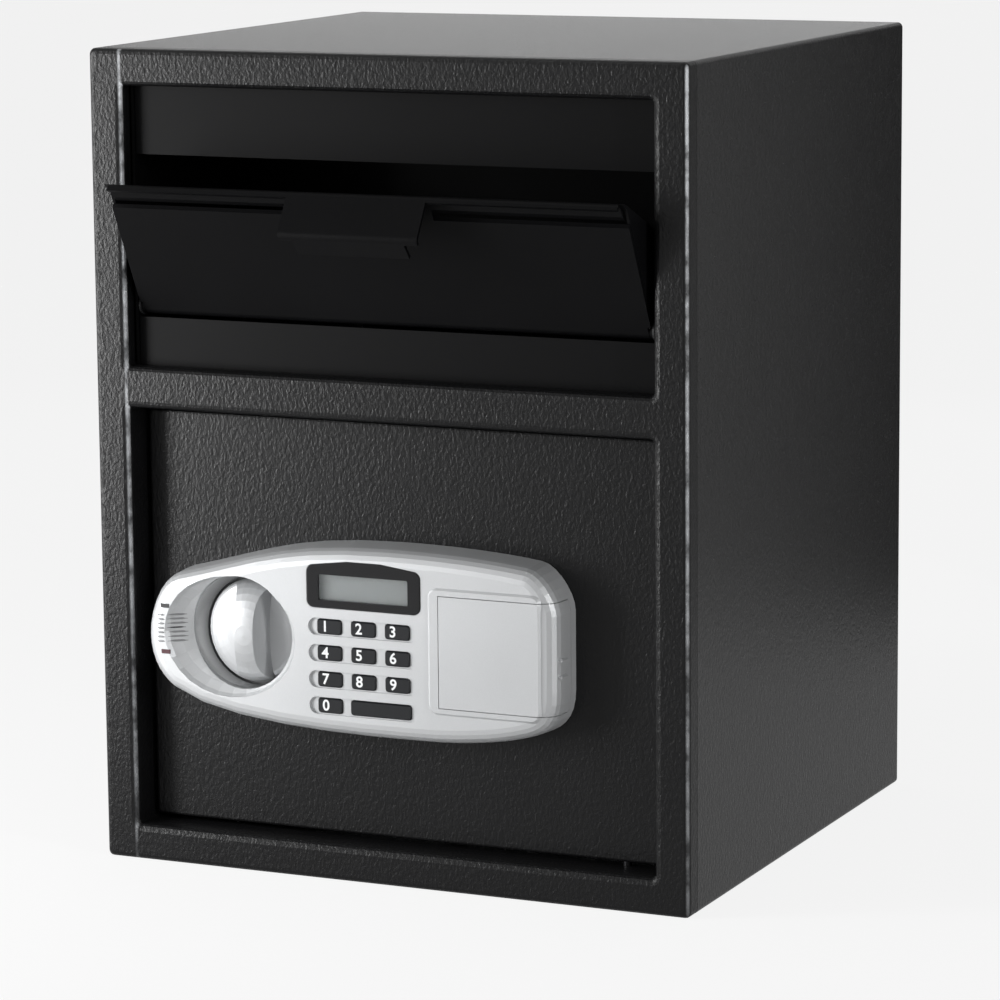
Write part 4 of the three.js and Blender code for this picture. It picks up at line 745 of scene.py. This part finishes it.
class SAFE_OT_lock(DressOperator):
    """Finish the lock unit, its knob, display and battery bay"""

    bl_idname = "safe.lock"
    bl_label = "Lock unit"

    def execute(self, context):
        lock = context.scene.safe_lock
        silver = silver_paint("silver_plastic", lock.silver, 0.44)
        low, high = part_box("knob")
        middle = (low + high) / 2
        gap = (middle.x, middle.z, (high.x - low.x) / 2, high.y - GAP_SHADE_FRONT)
        # The well's silver carries painted shade that turns it black round the knob's gap.
        paint(silver_paint("silver_well", lock.silver, 0.44, gap), "lock_housing", even=False)
        paint(silver, "battery_cover")
        paint(silver_paint("knob_silver", lock.knob, 0.40), "knob")
        gloss_black = moulded("display_black", (0.010, 0.010, 0.011), 0.16, depth=0.000002)
        paint(gloss_black, "display_bezel")
        paint(clear_window("display_window"), "display_window")
        paint(moulded("display_grey", lock.display, 0.25, depth=0.000001), "display_panel")
        paint(circuit_green("board_green"), "circuit_board")
        paint(moulded("mat_rubber", lock.key, 0.7), "key_mat")
        paint(moulded("tray_plastic", (0.018, 0.018, 0.020), 0.45), "battery_tray")
        cells = [name for name in NODES if name.startswith("battery_") and name[-1].isdigit()]
        paint(cell_sleeve("cell_sleeve"), *cells)
        face_marks(lock)
        cover_ridges(silver)
        return {"FINISHED"}


class SAFE_OT_keypad(DressOperator):
    """Finish the keys and add their raised digits"""

    bl_idname = "safe.keypad"
    bl_label = "Keypad"

    def execute(self, context):
        lock = context.scene.safe_lock
        rubber = moulded(
            "key_rubber", lock.key, 0.45, grain=2500.0, depth=0.00001, Specular_IOR_Level=0.3
        )
        ink = moulded("digit_ink", lock.digit, 0.6)
        for digit in range(10):
            name = f"key_{digit}"
            paint(rubber, name)
            low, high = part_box(name)
            text = bpy.data.curves.new(f"digit_{digit}", "FONT")
            text.body = str(digit)
            text.size = lock.digit_height / DIGIT_SHARE_OF_SIZE
            text.align_x, text.align_y = "CENTER", "CENTER"
            text.extrude = DIGIT_THICKNESS
            text.offset = DIGIT_WEIGHT
            piece = bpy.data.objects.new(f"digit_{digit}", text)
            piece.data.materials.append(ink)
            across = low.x + (high.x - low.x) * DIGIT_ACROSS_KEY
            piece.location = (across, low.y - DIGIT_THICKNESS, (low.z + high.z) / 2)
            piece.rotation_euler = (math.pi / 2, 0, 0)
            context.scene.collection.objects.link(piece)
            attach(piece, f"button_{digit}")
        paint(rubber, "key_enter")
        return {"FINISHED"}


class SAFE_PT_sidebar(Panel):
    """Lists the steps that dress the safe"""

    bl_idname = "SAFE_PT_sidebar"
    bl_label = "Drop Safe"
    bl_space_type = "VIEW_3D"
    bl_region_type = "UI"
    bl_category = "Drop Safe"

    def draw(self, context):
        scene = context.scene
        groups = {"Coats": scene.safe_coats, "Lock": scene.safe_lock, "Studio": scene.safe_studio}
        for title, group in groups.items():
            box = self.layout.box()
            box.label(text=title)
            for name in group.__annotations__:
                box.prop(group, name)
        for step in STEPS:
            self.layout.operator(step.bl_idname)


STEPS = (
    SAFE_OT_camera,
    SAFE_OT_stage,
    SAFE_OT_carcass,
    SAFE_OT_hopper,
    SAFE_OT_drawer,
    SAFE_OT_door,
    SAFE_OT_lock,
    SAFE_OT_keypad,
)
CLASSES = (CoatSettings, LockSettings, StudioSettings, *STEPS, SAFE_PT_sidebar)


def register():
    for cls in CLASSES:
        bpy.utils.register_class(cls)
    bpy.types.Scene.safe_coats = PointerProperty(type=CoatSettings)
    bpy.types.Scene.safe_lock = PointerProperty(type=LockSettings)
    bpy.types.Scene.safe_studio = PointerProperty(type=StudioSettings)


def unregister():
    for name in ("safe_coats", "safe_lock", "safe_studio"):
        delattr(bpy.types.Scene, name)
    for cls in reversed(CLASSES):
        bpy.utils.unregister_class(cls)


def main():
    register()
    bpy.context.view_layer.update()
    for step in STEPS:
        group, name = step.bl_idname.split(".")
        getattr(getattr(bpy.ops, group), name)()


if __name__ == "__main__":
    main()
